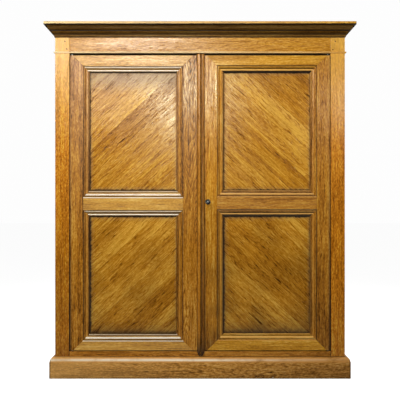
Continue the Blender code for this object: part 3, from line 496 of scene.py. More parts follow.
between_posts = (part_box("front_post_left")[1].y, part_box("rear_post_left")[0].y)
low_rail, mid_rail, top_rail = (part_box(f"side_{rail}_rail_left") for rail in ("bottom", "mid", "top"))
for side, outward in (("left", -1), ("right", 1)):
    for panel, below, above in (("lower", low_rail, mid_rail), ("upper", mid_rail, top_rail)):
        planted_moulding(
            f"side_{panel}_moulding_{side}", f"side_{panel}_panel_{side}",
            (between_posts, (below[1].z, above[0].z)), outward,
        )

# Pegs
# Round oak pegs are driven through the tenons of the frieze and the side rails. They stand a little proud,
# since the wood round them has shrunk.
PEG_TONES = ("#2c1604", "#5e360c", "#7c4a14", "#a06c28")
STUD_SMOOTH = math.radians(50)


def repeat(first, places, turns=None):
    """Copies a piece from the first of its places to the others and joins them all. Turns are those of the
    copies, in degrees about Y."""
    made = [first]
    for number, place in enumerate(places[1:]):
        select_only(first)
        bpy.ops.object.duplicate()
        bpy.ops.transform.translate(value=Vector(place) - Vector(places[0]))
        if turns:
            turn = math.radians(turns[number])
            bpy.ops.transform.rotate(value=turn, orient_axis="Y", center_override=place)
        bpy.ops.object.transform_apply(location=True, rotation=True, scale=True)
        made.append(bpy.context.object)
    for piece in made:
        piece.select_set(True)
    bpy.context.view_layer.objects.active = first
    bpy.ops.object.join()


def studs(name, places, facing, radius, proud, material, body):
    """Round heads that are alike, modelled once and copied: a pin sunk in its hole, with a low dome on it."""
    facing = Vector(facing)
    bpy.ops.object.select_all(action="DESELECT")
    bpy.ops.mesh.primitive_cylinder_add(
        vertices=16, radius=radius, depth=2 * radius, location=Vector(places[0]) + facing * (proud - radius),
        rotation=facing.to_track_quat("Z", "Y").to_euler(),
    )
    first = bpy.context.object
    bpy.ops.object.transform_apply(location=True, rotation=True, scale=True)
    bpy.ops.object.mode_set(mode="EDIT")
    bpy.ops.mesh.select_mode(type="FACE")
    bpy.ops.mesh.select_all(action="DESELECT")
    shape = bmesh.from_edit_mesh(first.data)
    for face in shape.faces:
        face.select_set(face.normal.dot(facing) > 0.9)
    bmesh.update_edit_mesh(first.data)
    bpy.ops.mesh.inset(thickness=radius * 0.25, depth=proud * 0.30)
    bpy.ops.mesh.inset(thickness=radius * 0.35, depth=proud * 0.15)
    bpy.ops.object.mode_set(mode="OBJECT")
    bpy.ops.object.shade_smooth_by_angle(angle=STUD_SMOOTH)
    repeat(first, places)
    first.name = first.data.name = name
    dress(first, material)
    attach(first, body)


PEG_RADIUS = 0.0045
PEG_PROUD = 0.0010
FRIEZE_PEGS = ((-0.839, 2.088), (-0.828, 2.041), (0.840, 2.089), (0.825, 2.036))
SIDE_PEG_HEIGHTS = (0.166, 0.226, 1.056, 1.109, 2.034, 2.084)
SIDE_PEG_DEPTHS = (-0.181, 0.251)
front_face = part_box("front_post_left")[0].y
side_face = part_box("front_post_right")[1].x
# End grain that drank the wax, so each peg shows as a small dark dot
front_peg_oak = waxed_oak("oak_peg_ends_front", PEG_TONES, GRAIN_FRONT_TO_BACK, figure=0.0)
side_peg_oak = waxed_oak("oak_peg_ends_sides", PEG_TONES, GRAIN_ALONG_X, figure=0.0)
studs(
    "frieze_pegs", [(x, front_face, z) for x, z in FRIEZE_PEGS], (0.0, -1.0, 0.0), PEG_RADIUS, PEG_PROUD,
    front_peg_oak, "carcass",
)
for side, outward in (("left", -1), ("right", 1)):
    studs(
        f"side_pegs_{side}",
        [(outward * side_face, y, z) for y in SIDE_PEG_DEPTHS for z in SIDE_PEG_HEIGHTS],
        (outward, 0.0, 0.0), PEG_RADIUS, PEG_PROUD, side_peg_oak, "carcass",
    )

# Back, floor, top and shelves
# Plain oak boards left unwaxed: two back panels lapped over a muntin between the rear posts, the floor on its
# ledges, the top board inside the cornice, and three shelves housed in the posts.
# Dry oak, paler and greyer than the outside, and rough enough to spread the light
INSIDE_TONES = ("#6f5330", "#a98353", "#c9a675", "#e0c69c")
BACK_BOARDS = (0.142, "Z", 0.18)
SHELF_BOARDS = (0.155, "Y", 0.18)
back_oak = waxed_oak(
    "bare_oak_back", INSIDE_TONES, GRAIN_UPRIGHT, figure=0.7, boards=BACK_BOARDS, roughness=0.62
)
board_oak = waxed_oak(
    "bare_oak_boards", INSIDE_TONES, GRAIN_ALONG_X, figure=0.6, boards=SHELF_BOARDS, roughness=0.60
)
for node in ("back_panel_left", "back_panel_right", "back_muntin"):
    dress(frame["nodes"][node], back_oak)
for node in ("floor_board", "top_board", "shelf_lower", "shelf_middle", "shelf_upper"):
    dress(frame["nodes"][node], board_oak)

# Plinth
# Three oak boards mitred round the feet of the posts, with a quarter-round along the top edge. Feet and
# brooms have rubbed that round, and it takes a painted highlight, white at its left end, towards the window;
# that end is painted paler, the right end darker, and both ends take painted shade.
# Brown oak under a pale edge, partly worn and partly painted light, darker to the right with painted shade
PLINTH_TONES = ("#4b2a0a", "#9f6721", "#c88a36", "#e8b464")
plinth_oak = waxed_oak(
    "waxed_oak_plinth", PLINTH_TONES, GRAIN_ALONG_X, figure=0.6, flake=0.7, pores=0.2, shift=7.7
)
plinth_side_oak = waxed_oak(
    "waxed_oak_plinth_sides", PLINTH_TONES, GRAIN_FRONT_TO_BACK, figure=0.5, contrast=1.5, shift=1.7
)
plinth_low, plinth_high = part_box("plinth_front")
# Amounts by share of the plinth's height: orange worn wood with painted light on the round, its painted
# highlight, and darkening at the foot with painted shade at the top
PLINTH_RUB_AND_LIGHT = ((0.72, 0.0), (0.76, 0.65), (0.80, 0.95), (0.95, 0.95), (0.98, 0.4), (1.0, 0.1))
PLINTH_GLINT = ((0.78, 0.0), (0.83, 0.65), (0.85, 1.0), (0.875, 1.0), (0.92, 0.30), (0.95, 0.0))
PLINTH_FOOT_AND_TOP_DARK = ((0.0, 0.75), (0.05, 0.35), (0.25, 0.05), (0.97, 0.0), (1.0, 0.7))


def plinth_wear_and_light(material):
    """The round at the top is paler, worn wood with painted light and a painted highlight; the foot and the
    top edge are darker, the top edge with painted shade, and the foot is chipped.
    """
    tree = material.node_tree
    place = add_node(tree, "TexCoord").outputs["Object"]
    share = by_place(material, "Z", plinth_low.z, plinth_high.z)
    band_patches = add_node(tree, "TexNoise", {"Vector": place, "Scale": 9.0, "Detail": 5.0})
    band_patches = add_node(tree, "MapRange", {"Value": band_patches, "From Min": 0.20, "From Max": 0.50})
    for hex_colour, amounts, stops in (
        ("#e4a052", (0.80, 0.80, 0.95), PLINTH_RUB_AND_LIGHT), ("#fff6e4", (1.0, 0.70, 0.0), PLINTH_GLINT)
    ):
        band = set_stops(add_node(tree, "ValToRGB", {"Fac": share}), stops)
        mask = add_node(tree, "Math", {0: band, 1: band_patches}, operation="MULTIPLY")
        along_front(material, hex_colour, amounts, mask)
    foot_and_top_dark = set_stops(add_node(tree, "ValToRGB", {"Fac": share}), PLINTH_FOOT_AND_TOP_DARK)
    lay_dirt_wear_and_light(material, foot_and_top_dark, "#160b03", dull=0.7)
    chips = add_node(tree, "TexNoise", {"Vector": place, "Scale": 60.0, "Detail": 2.0})
    chips = add_node(tree, "MapRange", {"Value": chips, "From Min": 0.68, "From Max": 0.72})
    foot = add_node(
        tree, "MapRange", {"Value": share, "From Min": 0.04, "From Max": 0.16, "To Min": 0.8, "To Max": 0.0}
    )
    lay_dirt_wear_and_light(material, add_node(tree, "Math", {0: chips, 1: foot}, operation="MULTIPLY"), "#dcc4a0")


for material in (plinth_oak, plinth_side_oak):
    plinth_wear_and_light(material)
# Painted light: the plinth's left end, towards the window, is painted paler
along_front(plinth_oak, "#e2ac66", (0.40, 0.02, 0.0))
# Painted shade: its right end is painted darker brown
along_front(plinth_oak, DARK_BROWN, (0.0, 0.0, 0.28))
# Painted shade at the plinth's ends, where its corners turn away from the light
PLINTH_END = 0.004
paint_gap_shade(plinth_oak, "X", plinth_high.x - PLINTH_END, 1, amount=0.7)
rubbed("plinth_front", plinth_oak)
for side in ("left", "right"):
    rubbed(f"plinth_{side}", plinth_side_oak)

# Bead
# A thin half-round oak bead runs along the foot of the frieze, returned along the sides and mitred at the
# corners. Dusting has rubbed its crest, and a painted highlight whitens it at the left, towards the window.
# A pale line, with a painted highlight nearly white at the left and painted shade deeper orange at the right
BEAD_TONES = ("#8f6022", "#cb9642", "#e6ba62", "#f8e0a4")
bead_oak = waxed_oak("rubbed_oak_bead", BEAD_TONES, GRAIN_ALONG_X, figure=0.2, roughness=0.6)
# Painted highlight at the left, and painted shade at the right
along_front(bead_oak, "#fff6e2", (0.35, 0.30, 0.0))
along_front(bead_oak, "#cc8a30", (0.0, 0.0, 0.75))
bead_side_oak = waxed_oak(
    "rubbed_oak_bead_returns", BEAD_TONES, GRAIN_FRONT_TO_BACK, figure=0.2, roughness=0.6
)
rubbed("bead_front", bead_oak)
for side in ("left", "right"):
    rubbed(f"bead_{side}", bead_side_oak)

# Cornice
# A run moulding of oak that rests on the carcass, mitred at the corners: a cove, a fillet, a big ogee and a
# square top fillet. Old polish and painted shade blacken the hollows and the faces that look down, the
# fillets show gold, and the top fillet takes a painted highlight, pale at the left.
# Old polish and painted shade by height in millimetres, then where the top fillet's painted highlight lies
CORNICE_DIRT_AND_SHADE_MM = (
    (0.0, 0.97), (3.5, 0.90), (7.0, 0.66), (9.5, 0.72), (12.5, 0.90), (22.0, 0.94), (27.0, 0.97),
    (29.0, 0.56), (31.0, 0.60), (33.0, 0.98), (38.0, 0.98), (40.5, 0.87), (47.0, 0.86), (55.0, 0.88),
    (60.0, 0.84), (63.0, 0.88), (66.0, 0.98), (71.0, 0.97), (73.0, 0.40), (75.0, 0.0),
)
CORNICE_HIGHLIGHT_MM = ((70.0, 0.0), (73.0, 1.0))
cornice_low, cornice_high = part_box("cornice_front")


def cornice_dirt_shade_and_highlight(material):
    """Old polish with painted shade, and a painted highlight on the top fillet, by height over the cornice's
    foot in millimetres.
    """
    tree = material.node_tree
    share = by_place(material, "Z", cornice_low.z, cornice_high.z)
    tall = (cornice_high.z - cornice_low.z) * 1000
    dirt, arris = (
        set_stops(add_node(tree, "ValToRGB", {"Fac": share}), [(mm / tall, amount) for mm, amount in stops])
        for stops in (CORNICE_DIRT_AND_SHADE_MM, CORNICE_HIGHLIGHT_MM)
    )
    lay_dirt_wear_and_light(material, dirt, "#1c0f03", dull=0.5)
    # Painted highlight on the top fillet, palest at the left, towards the window
    along_front(material, "#fbe3b4", (0.55, 0.25, 0.0), arris)


# Nearly black, matt oak that lets only the fillets show as gold lines
cornice_oak = waxed_oak(
    "polished_oak_cornice", RAIL_TONES, GRAIN_ALONG_X, figure=0.3, shift=0.9, roughness=0.6, shine=0.12
)
cornice_side_oak = waxed_oak(
    "polished_oak_cornice_returns", RAIL_TONES, GRAIN_FRONT_TO_BACK, figure=0.3, roughness=0.6, shine=0.0
)
for material in (cornice_oak, cornice_side_oak):
    cornice_dirt_shade_and_highlight(material)
rubbed("cornice_front", cornice_oak)
for side in ("left", "right"):
    rubbed(f"cornice_{side}", cornice_side_oak)

# Door frames
# Each door has two oak stiles and three rails, with mouldings worked on their inner edges. The end rails are
# mitred into the stiles, and the mid rail butts them. The doors hang on iron pivots.
# Brown oak for most stiles; the right meeting stile is of paler, plainer oak
DOOR_TONES = ("#472605", "#955a10", "#b9781c", "#dda848")
PALE_TONES = ("#563004", "#aa6812", "#d08c22", "#f0be58")
meeting_oaks = {
    "left": waxed_oak(
        "waxed_oak_left_meeting_stile", DOOR_TONES, GRAIN_UPRIGHT, figure=0.9, contrast=1.2, pores=0.20,
        curl=0.03, shift=0.4, roughness=0.20,
    ),
    "right": waxed_oak(
        "waxed_oak_right_meeting_stile", PALE_TONES, GRAIN_UPRIGHT, figure=0.3, pores=0.14, shift=3.7,
        roughness=0.20,
    ),
}
hanging_oaks = {
    side: waxed_oak(
        f"waxed_oak_{side}_hanging_stile", DOOR_TONES, GRAIN_UPRIGHT, figure=0.25, flake=0.5, contrast=1.15,
        pores=0.22, shift=shift,
    )
    for side, shift in (("left", 8.4), ("right", 1.2))
}
MEETING_FLOOR_DARKENING = {"left": 0.10, "right": 0.50}
HANGING_FLOOR_DARKENING = {"left": 0.10, "right": 0.34}
for side in ("left", "right"):
    darken_towards_floor(meeting_oaks[side], MEETING_FLOOR_DARKENING[side])
    darken_towards_floor(hanging_oaks[side], HANGING_FLOOR_DARKENING[side])
# The left meeting stile was cut near a knot, and its winding grain stands up enough to break the shine
KNOT_RELIEF = 0.0018
knotty_grain = next(node for node in meeting_oaks["left"].node_tree.nodes if node.type == "BUMP")
feed(knotty_grain, {"Distance": KNOT_RELIEF})
# Yellow oak with quiet level grain on the rails
door_rail_oaks = {
    side: waxed_oak(
        f"waxed_oak_{side}_door_rails", RAIL_TONES, GRAIN_ALONG_X, figure=0.15, contrast=0.9, shift=shift,
        shine=shine,
    )
    for side, shift, shine in (("left", 2.3, 0.34), ("right", 6.6, 0.26))
}
# The right door's mid rail was a browner board, with some winding grain
mid_rail_oaks = {
    "left": door_rail_oaks["left"],
    "right": waxed_oak(
        "waxed_oak_right_door_mid_rail", DOOR_TONES, GRAIN_ALONG_X, figure=0.5, pores=0.16, curl=0.02,
        shift=3.3,
    ),
}

# Dirt, painted shade and painted highlights follow the distance from the panels' sight lines, in millimetres
# towards the panel. The mouldings take up the 40 mm before it: a quirk, a bead, a cove, a second bead and a
# lip against the panel.
PANEL_TUCK = 0.0092
upper_low, upper_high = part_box("right_door_upper_panel")
lower_low, lower_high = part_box("right_door_lower_panel")
sight_x = (upper_low.x + PANEL_TUCK, upper_high.x - PANEL_TUCK)
between = (lower_high.z + upper_low.z) / 2
sight_z = (upper_low.z + PANEL_TUCK - between, upper_high.z - PANEL_TUCK - between)
DIRT_SPAN_MM = (-50.0, 70.0)
# Stiles to the left of a panel lie in the shade of the window, and carry more dirt and painted shade than
# those to its right
LEFT_DIRT_AND_SHADE_MM = (
    (-44.0, 0.0), (-42.0, 0.66), (-38.5, 0.72), (-37.0, 0.36), (-28.0, 0.30), (-22.0, 0.18), (-15.0, 0.20),
    (-10.0, 0.45), (-5.0, 0.80), (-2.0, 0.95),
)
RIGHT_DIRT_AND_SHADE_MM = (
    (-44.0, 0.0), (-42.0, 0.55), (-38.5, 0.60), (-37.0, 0.10), (-28.0, 0.02), (-22.0, 0.0), (-13.0, 0.12),
    (-8.0, 0.25), (-4.0, 0.42), (-1.5, 0.60),
)
# Painted highlight along the stiles' beads
STILE_HIGHLIGHT_MM = ((-27.0, 0.0), (-22.0, 0.30), (-17.0, 0.30), (-11.0, 0.0))
# A rail's moulding over a panel is sharp, with painted shade in its dirt; both it and the one under it have
# painted highlights on their beads
OVER_DIRT_AND_SHADE_MM = {
    "left": (
        (-43.0, 0.0), (-42.0, 0.75), (-38.0, 0.75), (-36.5, 0.0), (-30.0, 0.0), (-28.0, 0.78), (-19.5, 0.70),
        (-17.5, 0.0), (-13.0, 0.0), (-9.0, 0.80), (-4.0, 1.0),
    ),
    "right": (
        (-43.0, 0.0), (-42.0, 0.75), (-38.0, 0.75), (-36.0, 0.30), (-28.0, 0.22), (-25.0, 0.72),
        (-19.5, 0.70), (-17.5, 0.0), (-13.0, 0.0), (-9.0, 0.80), (-4.0, 1.0),
    ),
}
OVER_HIGHLIGHT_MM = {
    "left": (
        (-37.0, 0.0), (-35.5, 0.85), (-31.0, 0.85), (-29.5, 0.0), (-18.0, 0.0), (-16.5, 1.0), (-13.0, 1.0),
        (-11.0, 0.0),
    ),
    "right": ((-18.0, 0.0), (-16.5, 1.0), (-13.0, 1.0), (-11.0, 0.0)),
}
UNDER_DIRT_AND_SHADE_MM = (
    (-39.0, 0.0), (-37.5, 0.55), (-31.5, 0.58), (-29.0, 0.0), (-18.0, 0.0), (-15.0, 0.48), (-9.0, 0.45),
    (-7.0, 0.0), (-5.0, 0.0), (-2.5, 0.70), (0.0, 0.80),
)
UNDER_HIGHLIGHT_MM = (
    (-46.0, 0.0), (-44.5, 0.85), (-41.0, 0.85), (-39.5, 0.0), (-29.0, 0.0), (-27.0, 1.0), (-23.0, 1.0),
    (-20.0, 0.20), (-17.0, 0.0), (-8.0, 0.0), (-7.0, 0.45), (-3.5, 0.45), (-2.0, 0.0),
)
# Dirt that climbs a lower panel, by share of its reach
CLIMBING_DIRT = ((0.0, 0.95), (0.12, 0.75), (0.30, 0.34), (0.6, 0.12), (1.0, 0.0))


def door_bands(material, bands, lift=0.0, low_lift=0.0, patchy=0.0, right_edge=1.0, foot=0.0, fade=1.0):
    """Lays bands of dirt with painted shade, and painted highlights, along a door's mouldings and round its
    panels. A band is its colour, its roughness and its stops, or two sets of stops: over a panel and under
    it. Lift is how many millimetres the bands sit higher on this door and low_lift how many more on its
    bottom rail, patchy how far their edge wanders, right_edge what is left of them at a panel's right edge,
    which faces the light, foot how far dirt climbs a lower panel, and fade what is left of the bands at the
    top of the door."""
    tree = material.node_tree
    place = add_node(tree, "TexCoord").outputs["Object"]
    spot = add_node(tree, "SeparateXYZ", {"Vector": place}).outputs
    height = add_node(tree, "Math", {0: spot["Z"], 1: between}, operation="SUBTRACT")
    offsets = []
    inside = []
    for value, (near, far) in ((spot["X"], sight_x), (height, sight_z)):
        span = add_node(tree, "Math", {0: value}, operation="ABSOLUTE")
        span = add_node(tree, "Math", {0: span, 1: (near + far) / 2}, operation="SUBTRACT")
        side_of = add_node(tree, "Math", {0: value}, operation="SIGN")
        offsets.append(add_node(tree, "Math", {0: span, 1: side_of}, operation="MULTIPLY"))
        span = add_node(tree, "Math", {0: span}, operation="ABSOLUTE")
        inside.append(add_node(tree, "Math", {0: (far - near) / 2, 1: span}, operation="SUBTRACT"))
    depth = add_node(tree, "Math", {0: inside[0], 1: inside[1]}, operation="MINIMUM")
    wander = add_node(tree, "TexNoise", {"Vector": place, "Scale": 60.0, "Detail": 6.0})
    wander = add_node(tree, "Math", {0: wander, 1: 0.5}, operation="SUBTRACT")
    if patchy:
        thin = by_place(material, "Z", 0.8, 1.5, 1.0, 1.8)
        depth = add_node(tree, "Math", {0: depth, 1: thin}, operation="MULTIPLY")
        depth = add_node(tree, "Math", {0: wander, 1: patchy, 2: depth}, operation="MULTIPLY_ADD")
    if low_lift:
        sunk = by_place(material, "Z", lower_low.z + 0.1, lower_high.z - 0.1, low_lift / 1000, 0.0)
        depth = add_node(tree, "Math", {0: depth, 1: sunk}, operation="SUBTRACT")
    low, high = DIRT_SPAN_MM
    share = add_node(tree, "MapRange", {"Value": depth, "From Min": low / 1000, "From Max": high / 1000})
    for colour, dull, *tables in bands:
        masks = []
        for stops, way in zip(tables, (-1, 1)):
            shares = [((mm + way * lift - low) / (high - low), amount) for mm, amount in stops]
            masks.append(set_stops(add_node(tree, "ValToRGB", {"Fac": share}), shares))
        mask = masks[0]
        if len(masks) == 2:
            under = add_node(tree, "Math", {0: offsets[1], 1: 0.0}, operation="LESS_THAN")
            either = add_node(tree, "Mix", {"Factor": under, "A": masks[0], "B": masks[1]}, data_type="RGBA")
            mask = either.outputs["Result"]
        if fade < 1.0:
            left_over = by_place(material, "Z", 0.9, 1.6, 1.0, fade)
            mask = add_node(tree, "Math", {0: mask, 1: left_over}, operation="MULTIPLY")
        if patchy:
            # A panel's right edge faces the light and keeps less of the painted shade
            lit_edge = add_node(tree, "Math", {0: inside[0], 1: inside[1]}, operation="LESS_THAN")
            rightward = add_node(tree, "Math", {0: offsets[0], 1: 0.0}, operation="GREATER_THAN")
            lit_edge = add_node(tree, "Math", {0: lit_edge, 1: rightward}, operation="MULTIPLY")
            kept = add_node(tree, "MapRange", {"Value": lit_edge, "To Min": 1.0, "To Max": right_edge})
            mask = add_node(tree, "Math", {0: mask, 1: kept}, operation="MULTIPLY")
        if foot:
            reach = add_node(tree, "Math", {0: height, 1: sight_z[1]}, operation="ADD")
            reach = add_node(tree, "Math", {0: wander, 1: foot, 2: reach}, operation="MULTIPLY_ADD")
            reach = add_node(tree, "Math", {0: reach, 1: 4 * foot}, operation="DIVIDE")
            reach = set_stops(add_node(tree, "ValToRGB", {"Fac": reach}), CLIMBING_DIRT)
            mask = add_node(tree, "Math", {0: mask, 1: reach}, operation="MAXIMUM")
        lay_dirt_wear_and_light(material, mask, colour, dull=dull)


# The left door is greyed a little paler, on the stiles only above hand height
PALE_GREY_CAST = "#f2e2cc"
PALE_GREY_AMOUNT = 0.05
lay_dirt_wear_and_light(door_rail_oaks["left"], PALE_GREY_AMOUNT, PALE_GREY_CAST)
for material in (hanging_oaks["left"], meeting_oaks["left"]):
    lay_dirt_wear_and_light(material, by_place(material, "Z", 0.8, 1.5, 0.0, PALE_GREY_AMOUNT), PALE_GREY_CAST)
# Colour and roughness of old dirt with painted shade, and the colours of painted highlights on the crests:
# white on the left door, towards the window, and golden on the right
HOLLOW_DIRT_AND_SHADE = ("#160a02", 0.85)
STILE_HIGHLIGHT = "#d89a40"
RAIL_HIGHLIGHTS = {"left": "#f6eee2", "right": "#e8b05e"}
DOOR_LIFTS_MM = {"left": -3.0, "right": 3.0}
BOTTOM_RAIL_LIFT_MM = 5.0
# What is left of the dirt, painted shade and painted highlights on the stiles at the top of the doors
STILE_FADE = 0.6
for side, material in (*door_rail_oaks.items(), ("right", mid_rail_oaks["right"])):
    rail_bands = (
        (*HOLLOW_DIRT_AND_SHADE, OVER_DIRT_AND_SHADE_MM[side], UNDER_DIRT_AND_SHADE_MM),
        (RAIL_HIGHLIGHTS[side], None, OVER_HIGHLIGHT_MM[side], UNDER_HIGHLIGHT_MM),
    )
    door_bands(material, rail_bands, lift=DOOR_LIFTS_MM[side], low_lift=BOTTOM_RAIL_LIFT_MM)
for material, dirt_and_shade_mm in (
    (hanging_oaks["left"], LEFT_DIRT_AND_SHADE_MM), (meeting_oaks["left"], RIGHT_DIRT_AND_SHADE_MM),
    (meeting_oaks["right"], LEFT_DIRT_AND_SHADE_MM), (hanging_oaks["right"], RIGHT_DIRT_AND_SHADE_MM),
):
    door_bands(material, ((*HOLLOW_DIRT_AND_SHADE, dirt_and_shade_mm), (STILE_HIGHLIGHT, None, STILE_HIGHLIGHT_MM)), fade=STILE_FADE)
# Painted shade in the gaps round the doors: how far it comes in from their outer edges, and how dark it is
# there
DOOR_RIM = 0.0005
DOOR_EDGE_SHADE = ((DOOR_RIM, 0.95), (0.005, 0.45), (0.013, 0.24))
SEAM_SHADE_REACH = 0.034
door_low, door_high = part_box("right_door_hanging_stile")
for material in (*meeting_oaks.values(), *hanging_oaks.values(), *door_rail_oaks.values()):
    for inset, amount in DOOR_EDGE_SHADE:
        paint_gap_shade(material, "X", door_high.x - inset, 1, amount=amount)
    # Painted shadow of the bead on the door tops, and a lighter painted shade along their feet
    paint_gap_shade(material, "Z", door_high.z - DOOR_RIM, 1)
    paint_gap_shade(material, "Z", door_low.z + DOOR_RIM, -1, amount=0.5)
# The right door is browner: brown towards the floor on its rails, painted shade beside the astragal, and
# a grey cast on the mid rail
darken_towards_floor(door_rail_oaks["right"], 0.03)
paint_gap_shade(meeting_oaks["right"], "X", SEAM_SHADE_REACH, -1, amount=0.40)
lay_dirt_wear_and_light(mid_rail_oaks["right"], 0.15, "#6a5c48")
DOOR_ARRIS = 0.001
for side in ("left", "right"):
    for member, material in (
        ("hanging_stile", hanging_oaks[side]), ("meeting_stile", meeting_oaks[side]),
        ("top_rail", door_rail_oaks[side]), ("bottom_rail", door_rail_oaks[side]),
        ("mid_rail", mid_rail_oaks[side]),
    ):
        rubbed(f"{side}_door_{member}", material, DOOR_ARRIS)

# Door panels
# Thin oak panels held in grooves, whose boards run slantwise, so that the pair of doors makes a chevron.
# Their faces have warped to look a little upwards, which brings the window's shine down to their middle.
PANEL_TONES = ("#4a2903", "#9d600c", "#bf7f19", "#e4ac42")
PANEL_SLANT = math.radians(43)
BOARD_WIDTH = 0.115
PANEL_WARP = 0.024
# Dirt and the painted shadow of the mouldings along the panels' edges, by millimetres into the panel
PANEL_DIRT_AND_SHADE_MM = (
    (-3.0, 0.95), (0.0, 1.0), (4.0, 0.90), (8.0, 0.56), (12.0, 0.32), (20.0, 0.14), (45.0, 0.0),
)
PANEL_FLOOR_DARKENING = {"left": 0.34, "right": 0.46}
DIRT_WANDER = 0.020
# What is left of the dark at a panel's right edge, which faces the light and takes less painted shade
LIT_RIGHT_EDGE = {"left": 0.30, "right": 0.65}
FOOT_DIRT = {"left": 0.024, "right": 0.032}
# Painted shadow of the top rails, with some dirt, browns the upper panels under them and dulls their shine
TOP_SHADE_REACH = 0.15
TOP_SHADE_AMOUNTS = {"left": 0.55, "right": 0.10}
top_shade_low, top_shade_high = upper_high.z - TOP_SHADE_REACH, upper_high.z - TOP_SHADE_REACH / 3
# Slanting boards of warm brown oak, which differ in tone and shine in a broad patch
for side, slant, spread, shift in (("left", PANEL_SLANT, 0.14, 0.0), ("right", -PANEL_SLANT, 0.16, 5.2)):
    panel_oak = waxed_oak(
        f"waxed_oak_{side}_panels", PANEL_TONES, (0.0, slant, 0.0), figure=0.45, flake=0.38, pores=0.22,
        curl=0.035, boards=(BOARD_WIDTH, "Z", spread), shift=shift, roughness=0.20,
    )
    darken_towards_floor(panel_oak, PANEL_FLOOR_DARKENING[side])
    door_bands(
        panel_oak, ((*HOLLOW_DIRT_AND_SHADE, PANEL_DIRT_AND_SHADE_MM),), patchy=DIRT_WANDER, right_edge=LIT_RIGHT_EDGE[side],
        foot=FOOT_DIRT[side],
    )
    # Painted shadow under the top rails
    top_shade = by_place(panel_oak, "Z", top_shade_low, top_shade_high, 0.0, TOP_SHADE_AMOUNTS[side])
    lay_dirt_wear_and_light(panel_oak, top_shade, "#5c452c", dull=0.40)
    panel_tree = panel_oak.node_tree
    level = add_node(panel_tree, "NewGeometry").outputs["Normal"]
    warped = add_node(panel_tree, "VectorMath", {0: level, 1: (0.0, 0.0, PANEL_WARP)}, operation="ADD")
    feed(next(node for node in panel_tree.nodes if node.type == "BUMP"), {"Normal": warped})
    for panel in ("upper", "lower"):
        dress(frame["nodes"][f"{side}_door_{panel}_panel"], panel_oak)

# Astragals
# A rounded oak strip over the seam, half of it on each door's edge. It runs past the doors' ends, and its
# foot is darkened nearly black.
# Painted shade with dirt, by millimetres to the right of the seam
ASTRAGAL_SHADE_AND_DIRT_MM = (
    (-23.5, 0.60), (-19.5, 0.45), (-17.0, 0.0), (-1.5, 0.0), (0.5, 0.30), (5.0, 0.75), (9.5, 0.80),
    (12.0, 0.25), (17.5, 0.25), (19.0, 0.50), (23.5, 0.75),
)
# Brown oak with quiet upright grain, with painted shade to the right of the seam, away from the light, and
# along its outer edges
astragal_oak = waxed_oak("waxed_oak_astragals", DOOR_TONES, GRAIN_UPRIGHT, figure=0.2, shift=6.1)
astragal_tree = astragal_oak.node_tree
astragal_left, astragal_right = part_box("left_door_astragal")[0].x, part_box("right_door_astragal")[1].x
astragal_share = by_place(astragal_oak, "X", astragal_left, astragal_right)
astragal_wide = (astragal_right - astragal_left) * 1000
edge_shade_and_dirt = set_stops(
    add_node(astragal_tree, "ValToRGB", {"Fac": astragal_share}),
    [(mm / astragal_wide + 0.5, amount) for mm, amount in ASTRAGAL_SHADE_AND_DIRT_MM],
)
# The painted shade along the edges is fainter higher up
fainter_up = by_place(astragal_oak, "Z", 1.0, 1.7, 1.0, 0.5)
edge_shade_and_dirt = add_node(astragal_tree, "Math", {0: edge_shade_and_dirt, 1: fainter_up}, operation="MULTIPLY")
foot_dark = by_place(astragal_oak, "Z", 0.16, 0.30, 0.9, 0.0)
astragal_dark = add_node(astragal_tree, "Math", {0: edge_shade_and_dirt, 1: foot_dark}, operation="MAXIMUM")
lay_dirt_wear_and_light(astragal_oak, astragal_dark, "#1a0c04", dull=0.7)
for side in ("left", "right"):
    rubbed(f"{side}_door_astragal", astragal_oak, DOOR_ARRIS)

# Ironwork
# Forged and filed iron: turned pivot pins driven into the rails at both ends of the hanging stiles, a rim
# lock on the back of the right door with its bolt, key, escutcheon and keeper, and two rod bolts in the left
# door, which slide in bores in its meeting stile.
# Browned iron, mottled dark and bright where hands and pins rub it
iron = bpy.data.materials.new("worn_iron")
iron.use_nodes = True
iron_tree = iron.node_tree
iron_place = add_node(iron_tree, "TexCoord").outputs["Object"]
mottle = add_node(iron_tree, "TexNoise", {"Vector": iron_place, "Scale": 260.0, "Detail": 4.0})
iron_ramp = add_node(iron_tree, "ValToRGB", {"Fac": mottle})
set_stops(iron_ramp, ((0.40, linear("#1d1c1c")), (0.66, linear("#8c8b88"))))
feed(iron_tree.nodes["Principled BSDF"], {"Base Color": iron_ramp, "Metallic": 1.0, "Roughness": 0.24})
# Hands have worn the key to bright steel, which gives it white glints against the dark escutcheon
steel = iron.copy()
steel.name = "hand_worn_steel_key"
steel_ramp = next(node for node in steel.node_tree.nodes if node.type == "VALTORGB")
set_stops(steel_ramp, ((0.40, linear("#585c5e")), (0.66, linear("#b4babc"))))
feed(steel.node_tree.nodes["Principled BSDF"], {"Roughness": 0.34})
dress(frame["nodes"]["key"], steel)
IRON_NODES = ("lock_case", "lock_bolt", "escutcheon", "lock_keeper", "rod_bolt_upper", "rod_bolt_lower")
PIVOTS = [f"pivot_{side}_{end}" for side in ("left", "right") for end in ("lower", "upper")]
for node in (*IRON_NODES, *PIVOTS):
    dress(frame["nodes"][node], iron)

